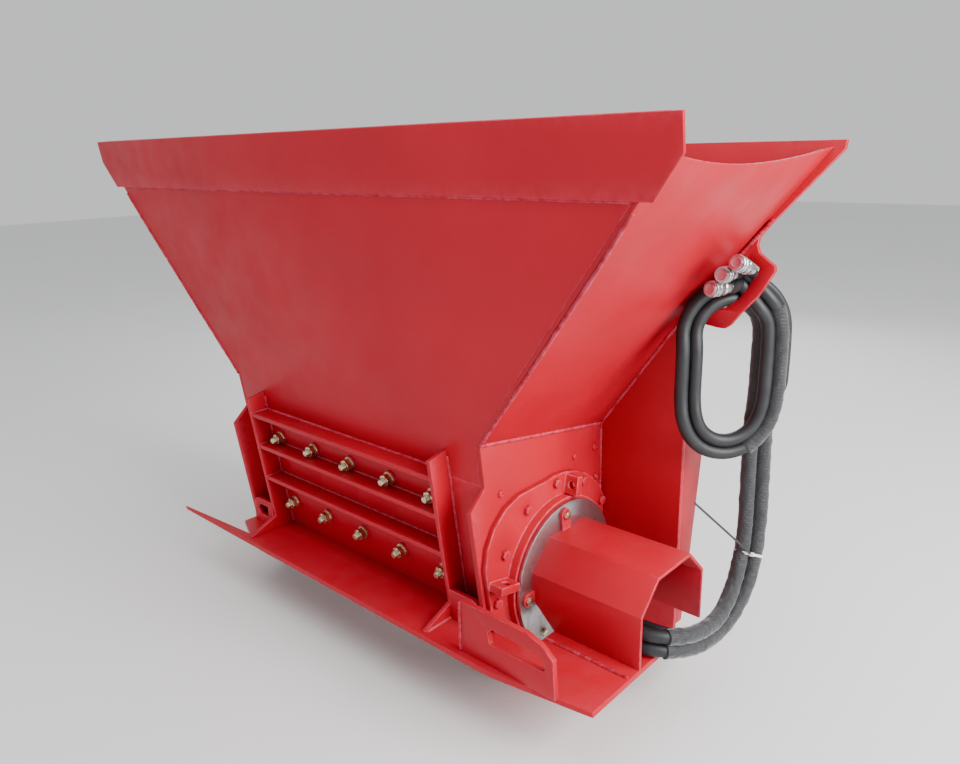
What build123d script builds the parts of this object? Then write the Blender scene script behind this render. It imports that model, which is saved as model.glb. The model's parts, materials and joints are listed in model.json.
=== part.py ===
from build123d import *
import os
from math import atan, cos, degrees, hypot, pi, radians, sin, tan

os.makedirs("parts", exist_ok=True)

# ---------------------------------------------------------------- driving dimensions (mm)
# X runs along the rotor with +X at the gearbox, +Y is the carrier side, +Z is up.
# The origin lies on the floor, under the middle of the hopper mouth and of the rotor.

TOTAL_HEIGHT = 1100.0
MOUTH_LENGTH = 1650.0
MOUTH_DEPTH = 588.0
WALL_LEAN = degrees(atan(0.1366))
SHEET = 8.0
PLATE = 12.0

LIP_THICK = 6.0
LIP_END_HEIGHT = 50.0
LIP_HEIGHT = 111.0
LIP_OVERHANG = 19.0
LIP_CORNER_X = 780.0

CHAMBER_HALF = 405.0
WAIST_FRONT_Z = 545.0
WAIST_REAR_Z = 483.0
END_TOP_X = 806.0
END_TOP_Z = 1050.0
END_SAG = 20.0

PANEL_Y = 177.0
PANEL_HALF = 602.0
PANEL_BEND_Z = 760.0
PANEL_BOTTOM_Z = 40.0
BACK_TOP_Z = 1062.0
BACK_THICK = 10.0

BASE_TOP_Z = 153.0
BASE_THICK = 12.0
BASE_FRONT_Y = -293.0
BASE_TIP_X = -612.0
BASE_KINK_X = 486.0
BASE_END_X = 692.0
BASE_END_SETBACK = 33.0
BASE_REAR_Y = 42.0

POST_X = 303.0
POST_DEPTH = 46.0
POST_THICK = 10.0
POST_TOP_Z = 503.0
RIB_TOP_Z = (468.0, 385.0, 299.0)
RIB_DEPTH = 44.0
RIB_THICK = 10.0

LINER_PITCH = 131.0
LINER_ROW_Z = (404.0, 227.0)
LINER_THICK = 12.0
BOLT_M = 16.0
BOLT_HOLE = 17.0
BOSS_R = 17.0
BOSS_HEIGHT = 6.0
HEAD_R = 14.9
HEAD_SEAT_R = 15.2
HEAD_HIGH = 7.0
THREAD_OUT = 26.0
WASHER_R = 15.0
WASHER_THICK = 2.5
NUT_ACROSS = 24.0
NUT_HIGH = 13.0

AXIS_Z = 216.0
DRUM_R = 100.0
DRUM_WALL = 14.0
DRUM_END_GAP = 6.0
SIDE_LINER = 6.0
TOOTH_TIP_R = 136.0
TOOTH_PITCH = 100.0
TOOTH_WIDE = 46.0
TOOTH_THICK = 26.0
SHAFT_R = 35.0
RUN_GAP = 0.05

FLANGE_R = 205.0
FLANGE_THICK = 12.0
FLANGE_BOLT_R = 188.0
FLANGE_BOLTS = 12
GEAR_BODY_R = 158.0
GEAR_BODY_LEN = 19.0
RING_R = 153.0
RING_THICK = 8.0
SPIGOT_R = 80.0
CAVITY_R = 72.0
RING_BOLT_R = 133.0

SUN_R = 16.0
PLANET_ORBIT = 38.0
GEAR_GAP = 0.3
PLANET_R = PLANET_ORBIT - SUN_R - GEAR_GAP
RING_PITCH_R = PLANET_ORBIT + PLANET_R + GEAR_GAP
GEAR_WIDE = 22.0
PIN_R = 6.0
OUTPUT_R = 36.0
OUTPUT_RACE = 20.0

MOTOR_R = 46.0
MOTOR_LEN = 130.0
MOTOR_FLANGE = 98.0

GUARD_HALF = 115.0
GUARD_FLAT_HALF = 59.0
GUARD_SHOULDER_Z = 260.0
GUARD_TOP_Z = 316.0
GUARD_THICK = 6.0
GUARD_FAR_Z = 152.0

HOSE_D = 26.0
HOSE_SIDE = 14.0
COUPLER_R = 15.0
TAIL_R = 7.0

RISE = radians(WALL_LEAN)


def front_y(z):
    """Y of the outer face of the leaning front wall at height z."""
    return -MOUTH_DEPTH / 2 + LIP_THICK + (TOTAL_HEIGHT - z) * tan(RISE)


def end_x(z, y):
    """X of the outer face of a sloping end wall, which is slightly twisted."""
    foot = WAIST_FRONT_Z + (y - front_y(WAIST_FRONT_Z)) * (WAIST_REAR_Z - WAIST_FRONT_Z) / (
        PANEL_Y - front_y(WAIST_FRONT_Z))
    return CHAMBER_HALF + (z - foot) * (END_TOP_X - CHAMBER_HALF) / (END_TOP_Z - foot)


FRONT = Plane(origin=(0, front_y(TOTAL_HEIGHT), TOTAL_HEIGHT), x_dir=(1, 0, 0),
              z_dir=(0, -cos(RISE), -sin(RISE)))


def front_point(x, z):
    """Point of the front wall's own plane for a place given by x and height."""
    return (x, (z - TOTAL_HEIGHT) / cos(RISE))


def plate(plane, points, thick):
    """Flat plate: an outline on a plane, thickened along the plane's normal."""
    return extrude(plane * make_face(Polyline(*points, close=True)), thick)


def slice_x(points, x_low, x_high):
    """Plate square to X: an outline of (y, z) points between two x values."""
    return plate(Plane(origin=(x_low, 0, 0), x_dir=(0, 1, 0), z_dir=(1, 0, 0)), points, x_high - x_low)


def slice_y(points, y_low, y_high):
    """Plate square to Y: an outline of (x, z) points between two y values."""
    return plate(Plane(origin=(0, y_high, 0), x_dir=(1, 0, 0), z_dir=(0, -1, 0)), points, y_high - y_low)


def block(x_low, x_high, y_low, y_high, z_low, z_high):
    """Box given by its limits."""
    size = Box(x_high - x_low, y_high - y_low, z_high - z_low)
    return Pos((x_low + x_high) / 2, (y_low + y_high) / 2, (z_low + z_high) / 2) * size


def disc_x(radius, x_low, x_high, y=0.0, z=AXIS_Z):
    """Cylinder along X between two x values."""
    return Pos((x_low + x_high) / 2, y, z) * Rot(0, 90, 0) * Cylinder(radius, x_high - x_low)


def ring_x(outer, inner, x_low, x_high, y=0.0, z=AXIS_Z):
    """Tube along X."""
    return disc_x(outer, x_low, x_high, y, z) - disc_x(inner, x_low - 1, x_high + 1, y, z)


def hex_prism(across, height):
    """Hexagonal prism standing on z = 0."""
    return extrude(RegularPolygon(across / 2, 6, major_radius=False), height)


def hex_bolt_x(x_face, radius, head, reach, y, z, side=1):
    """Hex bolt along X with its head on x_face; the shank goes the other way from side."""
    turn = Rot(0, 90 * side, 0)
    head_part = Pos(x_face, y, z) * turn * hex_prism(head, radius * 1.3)
    shank = disc_x(radius, min(x_face, x_face - side * reach), max(x_face, x_face - side * reach), y, z)
    return head_part + shank


def mirror_x(shape):
    """The same shape on the other side of the YZ plane."""
    return mirror(shape, about=Plane.YZ)


def group(shapes):
    """Separate solids kept together in one node."""
    solids = []
    for shape in shapes:
        solids.extend(shape.solids())
    return Compound(children=solids)


def on_circle(radius, angle):
    """(y, z) on a circle about the rotor axis; angle 0 is +Y and 90 is up."""
    return radius * cos(radians(angle)), AXIS_Z + radius * sin(radians(angle))


# ---------------------------------------------------------------- hopper
CHAMBER_INSIDE = CHAMBER_HALF - PLATE
SPLIT_Z = 458.0


FRONT_STEPS = (WAIST_FRONT_Z, 720.0, 890.0, END_TOP_Z)


def hopper_front_wall():
    """Leaning front sheet, cut to the inside half of the end walls' thickness at both sides."""
    side = [(end_x(z, front_y(z)) - SHEET / 2, z) for z in FRONT_STEPS]
    side = [(CHAMBER_INSIDE, SPLIT_Z)] + side + [(side[-1][0], TOTAL_HEIGHT)]
    outline = [front_point(x, z) for x, z in side] + [front_point(-x, z) for x, z in reversed(side)]
    wall = plate(FRONT, outline, -SHEET)
    right = end_wall() + end_plate(SPIGOT_R)
    return wall - right - mirror_x(right)


def lip_band():
    half = MOUTH_LENGTH / 2
    low_z = TOTAL_HEIGHT - LIP_HEIGHT
    mid_z = TOTAL_HEIGHT - LIP_END_HEIGHT
    outline = [front_point(-LIP_CORNER_X, low_z), front_point(LIP_CORNER_X, low_z), front_point(half, mid_z),
               front_point(half, TOTAL_HEIGHT), front_point(-half, TOTAL_HEIGHT), front_point(-half, mid_z)]
    return plate(FRONT, outline, LIP_THICK)


def back_front_y(z):
    """Y of the hopper-side face of the back wall."""
    top_y = MOUTH_DEPTH / 2 - BACK_THICK
    if z <= PANEL_BEND_Z:
        return PANEL_Y
    return PANEL_Y + (z - PANEL_BEND_Z) * (top_y - PANEL_Y) / (BACK_TOP_Z - PANEL_BEND_Z)


def back_section():
    """Bent back wall seen from the end: a vertical panel with a leaning upper part."""
    top = back_front_y(BACK_TOP_Z)
    return [(PANEL_Y, PANEL_BOTTOM_Z), (PANEL_Y + BACK_THICK, PANEL_BOTTOM_Z),
            (PANEL_Y + BACK_THICK, PANEL_BEND_Z), (top + BACK_THICK, BACK_TOP_Z), (top, BACK_TOP_Z),
            (PANEL_Y, PANEL_BEND_Z)]


BACK_EDGE = ((602.0, 735.0), (661.0, 728.0), (675.0, 728.0), (685.0, 735.0), (705.0, 762.0), (728.0, 791.0),
             (750.0, 836.0), (748.0, 845.0), (741.0, 850.0), (714.0, 867.0), (707.0, 880.0), (708.0, 893.0),
             (722.0, 915.0), (825.0, 1046.0))
EAR_SLOT = ((694.0, 857.0), (722.0, 841.0), (707.0, 807.0), (694.0, 784.0), (668.0, 764.0), (655.0, 778.0),
            (676.0, 838.0))


def hopper_back_wall():
    """Back panel bent in one piece with the leaning back of the hopper and the hose ear at its right edge."""
    half = MOUTH_LENGTH / 2
    bent = slice_x(back_section(), -half, half)
    right = [(PANEL_HALF, PANEL_BOTTOM_Z)] + list(BACK_EDGE) + [(half, BACK_TOP_Z)]
    left = [(-half, BACK_TOP_Z), (-half, END_TOP_Z - 4), (-722.0, 915.0), (-PANEL_HALF, PANEL_BEND_Z - 6),
            (-PANEL_HALF, PANEL_BOTTOM_Z)]
    wall = bent & slice_y(right + left, 0, MOUTH_DEPTH)
    slot = slice_y(EAR_SLOT, 0, MOUTH_DEPTH)
    return wall - fillet(slot.edges().filter_by(Axis.Y), 5)


def end_wall():
    """Sloping end wall, ruled between a front and a rear section and trimmed by its neighbours."""
    sections = []
    for y in (-330.0, 330.0):
        foot = WAIST_FRONT_Z + (y - front_y(WAIST_FRONT_Z)) * (WAIST_REAR_Z - WAIST_FRONT_Z) / (
            PANEL_Y - front_y(WAIST_FRONT_Z))
        top = END_TOP_Z + 30
        low = (CHAMBER_HALF, foot)
        high = (end_x(top, y), top)
        length = hypot(high[0] - low[0], high[1] - low[1])
        inward = (-(high[1] - low[1]) / length * SHEET, (high[0] - low[0]) / length * SHEET)
        outline = [low, high, (high[0] + inward[0], high[1] + inward[1]),
                   (low[0] + inward[0], low[1] + inward[1])]
        face = make_face(Polyline(*[(x, y, z) for x, z in outline], close=True))
        sections.append(face)
    slab = loft(sections, ruled=True)
    behind = slice_x([(back_front_y(z), z) for z in (0.0, PANEL_BEND_Z, BACK_TOP_Z, 1300.0)]
                     + [(600.0, 1300.0), (600.0, 0.0)], 0, 1200)
    ahead = plate(FRONT, [(-1200, -1400), (1200, -1400), (1200, 300), (-1200, 300)], 400)
    slab = slab - behind - ahead
    span = PANEL_Y + 95 - front_y(END_TOP_Z)
    sag_r = (span / 2) ** 2 / (2 * END_SAG) + END_SAG / 2
    middle_y = (front_y(END_TOP_Z) + PANEL_Y + 95) / 2
    scoop = disc_x(sag_r, 500, 1100, middle_y, END_TOP_Z - END_SAG + sag_r)
    above = block(300, 1200, -400, 400, END_TOP_Z, 1300)
    return slab - scoop - above


# ---------------------------------------------------------------- crushing chamber
def end_plate_outline():
    step = POST_DEPTH
    return [(front_y(WAIST_FRONT_Z), WAIST_FRONT_Z), (front_y(457.0), 457.0), (front_y(420.0) - step, 420.0),
            (front_y(BASE_TOP_Z) - step, BASE_TOP_Z), (front_y(BASE_TOP_Z) - step, 110.0), (-138.0, 0.0),
            (PANEL_Y, 0.0), (PANEL_Y, WAIST_REAR_Z)]


def end_plate(bore):
    body = slice_x(end_plate_outline(), CHAMBER_INSIDE, CHAMBER_HALF)
    return body - disc_x(bore, CHAMBER_INSIDE - 1, CHAMBER_HALF + 1)


def skid_runner():
    return block(CHAMBER_HALF, CHAMBER_HALF + 48, -138, PANEL_Y, 0, PLATE)


def liner_bolt_places(rows):
    return [(i * LINER_PITCH, z) for z in rows for i in (-2, -1, 0, 1, 2)]


def front_normal_rod(radius, x, z, outward, inward):
    """Cylinder square to the front wall, from inward behind its face to outward before it."""
    spot = FRONT * Pos(x, (z - TOTAL_HEIGHT) / cos(RISE), (outward - inward) / 2)
    return spot * Cylinder(radius, outward + inward)


def chamber_front_wall():
    outline = [front_point(-CHAMBER_INSIDE, BASE_TOP_Z), front_point(CHAMBER_INSIDE, BASE_TOP_Z),
               front_point(CHAMBER_INSIDE, SPLIT_Z), front_point(-CHAMBER_INSIDE, SPLIT_Z)]
    wall = plate(FRONT, outline, -PLATE)
    for x, z in liner_bolt_places(LINER_ROW_Z):
        wall = wall + front_normal_rod(BOSS_R, x, z, BOSS_HEIGHT, 1)
    for x, z in liner_bolt_places(LINER_ROW_Z):
        wall = wall - front_normal_rod(BOLT_HOLE / 2, x, z, BOSS_HEIGHT + 1, PLATE + 1)
    return wall


LINER_HALF = CHAMBER_INSIDE - SIDE_LINER - 1.0
LINER_LOW_Z = 175.0
LINER_HIGH_Z = 440.0


def front_liner():
    half = LINER_HALF
    outline = [front_point(-half, LINER_LOW_Z), front_point(half, LINER_LOW_Z),
               front_point(half, LINER_HIGH_Z), front_point(-half, LINER_HIGH_Z)]
    liner = plate(FRONT.offset(-PLATE), outline, -LINER_THICK)
    deep = PLATE + LINER_THICK
    for x, z in liner_bolt_places(LINER_ROW_Z):
        liner = liner - front_normal_rod(BOLT_HOLE / 2, x, z, 0, PLATE + LINER_THICK + 1)
        liner = liner - front_normal_rod(HEAD_SEAT_R, x, z, HEAD_HIGH - deep, deep + 1)
    return liner


def liner_bolts():
    """Countersunk-style plough bolts: head let into the liner, thread out of the front wall."""
    bolts = []
    deep = PLATE + LINER_THICK
    for x, z in liner_bolt_places(LINER_ROW_Z):
        head = front_normal_rod(HEAD_R, x, z, HEAD_HIGH - deep, deep)
        shank = front_normal_rod(BOLT_M / 2, x, z, BOSS_HEIGHT + THREAD_OUT, deep - HEAD_HIGH)
        bolts.append(head + shank)
    return group(bolts)


def liner_nuts():
    nuts = []
    for x, z in liner_bolt_places(LINER_ROW_Z):
        spot = FRONT * Pos(x, (z - TOTAL_HEIGHT) / cos(RISE), BOSS_HEIGHT + WASHER_THICK)
        nut = spot * (hex_prism(NUT_ACROSS, NUT_HIGH) - Cylinder(BOLT_M / 2 + 0.1, 3 * NUT_HIGH))
        nuts.append(nut)
    return group(nuts)


def liner_washers():
    washers = []
    for x, z in liner_bolt_places(LINER_ROW_Z):
        spot = FRONT * Pos(x, (z - TOTAL_HEIGHT) / cos(RISE), BOSS_HEIGHT + WASHER_THICK / 2)
        washers.append(spot * (Cylinder(WASHER_R, WASHER_THICK) - Cylinder(BOLT_HOLE / 2, 2 * WASHER_THICK)))
    return group(washers)


def post_outline():
    reach = POST_DEPTH
    return [(front_y(POST_TOP_Z + 10), POST_TOP_Z + 10), (front_y(POST_TOP_Z) - reach, POST_TOP_Z),
            (front_y(185.0) - reach, 185.0), (BASE_FRONT_Y + 9, BASE_TOP_Z + 2),
            (BASE_FRONT_Y + 9, BASE_TOP_Z), (front_y(BASE_TOP_Z), BASE_TOP_Z)]


def front_posts():
    post = slice_x(post_outline(), POST_X, POST_X + POST_THICK)
    return group([post, mirror_x(post)])


def front_ribs():
    ribs = []
    for top in RIB_TOP_Z:
        front = front_y(top) - RIB_DEPTH
        outline = [(front_y(top), top), (front, top), (front, top - RIB_THICK),
                   (front_y(top - RIB_THICK), top - RIB_THICK)]
        ribs.append(slice_x(outline, -POST_X, POST_X))
    return group(ribs)


def base_plate():
    """Front blade plate with a pointed left end and the deck under the drive at the right."""
    chamber_y = front_y(BASE_TOP_Z) + PLATE
    outline = [(BASE_TIP_X, BASE_FRONT_Y), (BASE_KINK_X, BASE_FRONT_Y),
               (BASE_END_X, BASE_FRONT_Y + BASE_END_SETBACK), (BASE_END_X, BASE_REAR_Y),
               (500.0, BASE_REAR_Y), (500.0, front_y(BASE_TOP_Z) + 5),
               (CHAMBER_HALF, front_y(BASE_TOP_Z) + 5), (CHAMBER_HALF, chamber_y), (-CHAMBER_HALF, chamber_y), (-CHAMBER_HALF, -240.0),
               (-330.0, BASE_FRONT_Y + 22)]
    flat = extrude(make_face(Polyline(*outline, close=True)), BASE_THICK)
    deck = Pos(0, 0, BASE_TOP_Z - BASE_THICK) * flat
    right = end_plate(SPIGOT_R) + foot_web(1, False)
    return deck - right - mirror_x(right) - slice_x(bulge_outline(), CHAMBER_HALF, FLANGE_X)


WING_Y = -279.0


def wing_plate():
    """Upright guard plate in front of the gearbox with an oblong hand slot."""
    top = 260.0
    outline = [(CHAMBER_HALF, BASE_TOP_Z), (627.0, BASE_TOP_Z), (622.0, 229.0), (598.0, 249.0), (564.0, top),
               (CHAMBER_HALF, top)]
    body = slice_y(outline, WING_Y, WING_Y + 10)
    slot_outline = [(478.0, 199.0), (601.0, 199.0), (608.0, 208.0), (590.0, 231.0), (486.0, 231.0),
                    (474.0, 222.0)]
    slot = slice_y(slot_outline, WING_Y - 5, WING_Y + 15)
    slot = fillet(slot.edges().filter_by(Axis.Y), 6)
    return body - slot


def foot_web(side, hole):
    """Upright plate that closes the corner between an end plate and the nearest post."""
    y = front_y(215.0) - POST_DEPTH
    outline = [(CHAMBER_INSIDE, 60.0), (CHAMBER_INSIDE, 200.0), (CHAMBER_INSIDE - 8, 213.0),
               (CHAMBER_INSIDE - 20, 217.0),
               (POST_X + POST_THICK, 217.0), (POST_X + POST_THICK, 60.0)]
    body = slice_y(outline, y, y + 10)
    if hole:
        slot = slice_y([(332.0, 174.0), (368.0, 174.0), (376.0, 188.0), (366.0, 202.0), (332.0, 202.0)],
                       y - 5, y + 15)
        body = body - fillet(slot.edges().filter_by(Axis.Y), 4)
    return body if side > 0 else mirror_x(body)


# ---------------------------------------------------------------- carrier side
def side_strip():
    """Quick-attach side plate behind the panel."""
    rear = PANEL_Y + BACK_THICK
    outline = [(rear, 693.0), (264.0, 454.0), (264.0, 431.0), (237.0, 228.0), (212.0, 60.0), (rear, 60.0)]
    return slice_x(outline, PANEL_HALF - 10, PANEL_HALF)


def top_rail():
    """Sloping rail that hooks over the carrier's coupler plate."""
    rear = PANEL_Y + BACK_THICK
    outline = [(rear, 470.0), (rear, 455.0), (250.0, 412.0), (250.0, 427.0)]
    return slice_x(outline, -(PANEL_HALF - 10), PANEL_HALF - 10)


PIN_SLOT_X = 290.0


def bottom_rail():
    """Bottom flange with the two lock-pin slots."""
    rear = PANEL_Y + BACK_THICK
    outline = [(rear, 92.0), (rear, 78.0), (240.0, 62.0), (240.0, 76.0)]
    rail = slice_x(outline, -PANEL_HALF, PANEL_HALF)
    for x in (-PIN_SLOT_X, PIN_SLOT_X):
        rail = rail - block(x - 24, x + 24, 206, 230, 40, 120)
    rail = rail - block(PANEL_HALF - 10, PANEL_HALF, rear, 300, 0, 200)
    return rail - block(-PANEL_HALF, -(PANEL_HALF - 10), rear, 300, 0, 200)


def rear_liner():
    return block(-LINER_HALF, LINER_HALF, PANEL_Y - LINER_THICK, PANEL_Y, LINER_LOW_Z, LINER_HIGH_Z)


SIDE_BOLTS = ((152.0, 435.0), (79.0, 435.0), (-158.0, 432.0), (158.0, 364.0))


def side_liner(x_low, bore):
    """Wear plate inside an end plate, clear of the front and rear liners."""
    x_high = x_low + SIDE_LINER
    low = front_y(LINER_LOW_Z) + (PLATE + LINER_THICK) / cos(RISE) + 1
    high = front_y(450.0) + (PLATE + LINER_THICK) / cos(RISE) + 1
    rear = PANEL_Y - LINER_THICK - 1
    outline = [(low, LINER_LOW_Z), (rear, LINER_LOW_Z), (rear, 450.0), (high, 450.0)]
    return slice_x(outline, x_low, x_high) - disc_x(bore, x_low - 1, x_high + 1)


def side_liners():
    right = side_liner(CHAMBER_INSIDE - SIDE_LINER, SPIGOT_R + 6)
    left = side_liner(-CHAMBER_INSIDE, SHAFT_R + 7)
    return group([right, left])


def side_liner_bolts():
    """Button heads of the wear plate bolts on the outside of both end plates."""
    bolts = []
    for y, z in SIDE_BOLTS:
        head = disc_x(8.0, CHAMBER_HALF, CHAMBER_HALF + 5, y, z)
        bolts.append(head)
        bolts.append(mirror_x(head))
    return group(bolts)


# ---------------------------------------------------------------- rotor
DRUM_HALF = CHAMBER_INSIDE - SIDE_LINER - DRUM_END_GAP
TOOTH_X = [(-3.5 + i) * TOOTH_PITCH for i in range(8)]


def rotor_drum():
    return ring_x(DRUM_R, DRUM_R - DRUM_WALL, -DRUM_HALF, DRUM_HALF)


def rotor_hubs():
    """Hub plates inside the drum ends; the right one takes the gearbox output."""
    left = ring_x(DRUM_R - DRUM_WALL, SHAFT_R, -DRUM_HALF, -DRUM_HALF + 20)
    right = disc_x(DRUM_R - DRUM_WALL, DRUM_HALF - 85, DRUM_HALF - 65)
    bore = disc_x(OUTPUT_R, DRUM_HALF - 90, DRUM_HALF - 60)
    return group([left, right - bore])


def tooth_places():
    """Helical rows: each tooth is one step further round than its neighbour."""
    places = []
    for i, x in enumerate(TOOTH_X):
        for k in range(3):
            places.append((x, 120.0 * k + 30.0 * i))
    return places


def at_angle(angle):
    return Pos(0, 0, AXIS_Z) * Rot(angle, 0, 0)


def rotor_teeth():
    """Wedge-shaped hammers seated on flats of the drum."""
    teeth = []
    foot = DRUM_R - 1.5
    for x, angle in tooth_places():
        profile = [(-TOOTH_THICK / 2, foot), (TOOTH_THICK / 2, foot), (TOOTH_THICK / 2, TOOTH_TIP_R - 16),
                   (2.0, TOOTH_TIP_R), (-TOOTH_THICK / 2, TOOTH_TIP_R - 4)]
        tooth = plate(Plane(origin=(x - TOOTH_WIDE / 2, 0, 0), x_dir=(0, 1, 0), z_dir=(1, 0, 0)), profile,
                      TOOTH_WIDE)
        tooth = tooth - disc_x(DRUM_R, x - TOOTH_WIDE, x + TOOTH_WIDE, 0, 0)
        teeth.append(at_angle(angle) * tooth)
    return group(teeth)


LEFT_HOUSING_R = 85.0
LEFT_BEARING_R = 62.0
LEFT_X = -CHAMBER_HALF


def rotor_shaft():
    """Left stub shaft from the hub plate through the bearing."""
    return disc_x(SHAFT_R, LEFT_X - 62, -DRUM_HALF + 20)


def bearing_housing():
    body = ring_x(LEFT_HOUSING_R + 25, LEFT_BEARING_R, LEFT_X - 14, LEFT_X)
    body = body + ring_x(LEFT_HOUSING_R, LEFT_BEARING_R, LEFT_X - 52, LEFT_X - 14)
    for angle in range(0, 360, 60):
        y, z = on_circle(LEFT_HOUSING_R + 13, angle)
        body = body - disc_x(6.6, LEFT_X - 15, LEFT_X + 1, y, z)
    return body


def bearing_outer_ring():
    return ring_x(LEFT_BEARING_R, 54.0, LEFT_X - 50, LEFT_X - 12)


def bearing_inner_ring():
    return ring_x(43.0, SHAFT_R, LEFT_X - 50, LEFT_X - 12)


def bearing_rollers():
    rollers = []
    for i in range(14):
        y, z = on_circle(48.5, i * 360 / 14)
        rollers.append(disc_x(5.4, LEFT_X - 46, LEFT_X - 16, y, z))
    return group(rollers)


def shaft_seal():
    return ring_x(LEFT_BEARING_R, SHAFT_R + RUN_GAP, LEFT_X - 10, LEFT_X - 2)


def bearing_cap():
    cap = disc_x(LEFT_HOUSING_R, LEFT_X - 70, LEFT_X - 52)
    cap = cap - disc_x(LEFT_BEARING_R - 4, LEFT_X - 64, LEFT_X - 51)
    for angle in range(30, 360, 60):
        y, z = on_circle(LEFT_HOUSING_R - 11, angle)
        cap = cap - disc_x(4.2, LEFT_X - 71, LEFT_X - 51, y, z)
    return cap


def bearing_cap_bolts():
    bolts = []
    for angle in range(30, 360, 60):
        y, z = on_circle(LEFT_HOUSING_R - 11, angle)
        bolts.append(hex_bolt_x(LEFT_X - 70, 4, 13, 18, y, z, -1))
    return group(bolts)


def bearing_housing_bolts():
    bolts = []
    for angle in range(0, 360, 60):
        y, z = on_circle(LEFT_HOUSING_R + 13, angle)
        bolts.append(hex_bolt_x(LEFT_X - 14, 6, 18, 14, y, z, -1))
    return group(bolts)


# ---------------------------------------------------------------- drive
FLANGE_X = CHAMBER_HALF + FLANGE_THICK
BODY_X = FLANGE_X + GEAR_BODY_LEN
RING_X = BODY_X + 2
FACE_X = RING_X + RING_THICK
SPIGOT_X = CHAMBER_HALF - 68
WEB_X = SPIGOT_X + 24
FLANGE_LIMIT_Y = PANEL_Y - 3.0


def bulge_outline():
    """Cast flange outline: a round flange with a wider shoulder at the upper front."""
    points = []
    for angle in range(0, 360, 10):
        grow = 0.0
        if 105 <= angle <= 175:
            grow = 42.0 * sin(radians((angle - 105) * 180 / 70))
        radius = FLANGE_R + grow
        y = min(radius * cos(radians(angle)), FLANGE_LIMIT_Y)
        z = max(AXIS_Z + radius * sin(radians(angle)), 14.0)
        if not points or hypot(y - points[-1][0], z - points[-1][1]) > 1:
            points.append((y, z))
    return points


def lug(angle, inner, outer):
    """Cast lifting eye that stands out from the flange face."""
    middle = (inner + outer) / 2
    body = Pos(FLANGE_X + 16, middle, 0) * Box(32, outer - inner, 16)
    eye = Pos(FLANGE_X + 18, middle, 0) * Cylinder(8, 40)
    return at_angle(angle) * (body - eye)


def gearbox_housing():
    flange = slice_x(bulge_outline(), CHAMBER_HALF, FLANGE_X)
    body = disc_x(GEAR_BODY_R, FLANGE_X, BODY_X)
    spigot = disc_x(SPIGOT_R, SPIGOT_X, CHAMBER_HALF)
    casting = flange + body + spigot + disc_x(RING_R - 4, BODY_X, RING_X)
    casting = casting + lug(78, GEAR_BODY_R + 2, FLANGE_R - 4) + lug(168, GEAR_BODY_R + 2, FLANGE_R + 8)
    casting = casting - disc_x(CAVITY_R, WEB_X, RING_X + 1)
    casting = casting - disc_x(OUTPUT_R + RUN_GAP + OUTPUT_RACE, SPIGOT_X - 1, WEB_X - 4)
    casting = casting - disc_x(OUTPUT_R + 2, SPIGOT_X - 1, WEB_X + 1)
    for y, z in flange_bolt_places():
        casting = casting - disc_x(6.6, CHAMBER_HALF - 1, FLANGE_X + 1, y, z)
    for angle in RING_BOLT_ANGLES:
        y, z = on_circle(RING_BOLT_R, angle)
        casting = casting - disc_x(5.0, RING_X - 20, RING_X + 1, y, z)
    return casting


def flange_bolt_places():
    """The bolt circle, without the place that the back panel covers."""
    return [on_circle(FLANGE_BOLT_R, i * 360 / FLANGE_BOLTS) for i in range(1, FLANGE_BOLTS)]


def flange_bolts():
    bolts = []
    for y, z in flange_bolt_places():
        bolts.append(hex_bolt_x(FLANGE_X, 6, 18, FLANGE_THICK, y, z))
    return group(bolts)


def adapter_ring():
    ring = ring_x(RING_R, 40.0, RING_X, FACE_X)
    for angle in RING_BOLT_ANGLES:
        y, z = on_circle(RING_BOLT_R, angle)
        ring = ring - disc_x(5.0, RING_X - 1, FACE_X + 1, y, z)
    return ring


def output_bearing():
    return ring_x(OUTPUT_R + RUN_GAP + OUTPUT_RACE, OUTPUT_R + RUN_GAP, SPIGOT_X + 2, WEB_X - 4)


def planet_carrier():
    """Output shaft, carrier disc and planet pins in one piece."""
    shaft = disc_x(OUTPUT_R, DRUM_HALF - 85, WEB_X + 6)
    disc = disc_x(CAVITY_R - 8, WEB_X + 6, WEB_X + 18)
    body = shaft + disc
    for k in range(3):
        y, z = on_circle(PLANET_ORBIT, 90 + 120 * k)
        body = body + disc_x(PIN_R, WEB_X + 18, WEB_X + 22 + GEAR_WIDE, y, z)
    return body


GEAR_X = WEB_X + 20


def planet_gear(k):
    y, z = on_circle(PLANET_ORBIT, 90 + 120 * k)
    return ring_x(PLANET_R, PIN_R + RUN_GAP, GEAR_X, GEAR_X + GEAR_WIDE, y, z)


def ring_gear():
    return ring_x(CAVITY_R, RING_PITCH_R, GEAR_X, GEAR_X + GEAR_WIDE)


def sun_gear():
    return disc_x(SUN_R, GEAR_X, GEAR_X + GEAR_WIDE) + disc_x(12.5, GEAR_X + GEAR_WIDE, FACE_X - 6)


def motor_shaft():
    return disc_x(12.5, FACE_X - 6, FACE_X + 60)


PORT_X = FACE_X + 110
PORT_Y = -74.0
PORT_Z = 186.0


def hydraulic_motor():
    size = MOTOR_FLANGE
    flange = block(FACE_X, FACE_X + 16, -size / 2, size / 2, AXIS_Z - size / 2, AXIS_Z + size / 2)
    flange = fillet(flange.edges().filter_by(Axis.X), 18)
    body = disc_x(MOTOR_R, FACE_X + 16, FACE_X + MOTOR_LEN)
    cap = disc_x(MOTOR_R - 6, FACE_X + MOTOR_LEN, FACE_X + MOTOR_LEN + 14)
    ports = block(FACE_X + 34, PORT_X, PORT_Y - 16, 0, PORT_Z - 30, PORT_Z + 30)
    motor = flange + body + cap + ports
    motor = motor - disc_x(12.5 + RUN_GAP, FACE_X - 1, FACE_X + 62)
    for y, z in motor_bolt_places():
        motor = motor - disc_x(5.5, FACE_X - 1, FACE_X + 17, y, z)
    return motor


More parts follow.
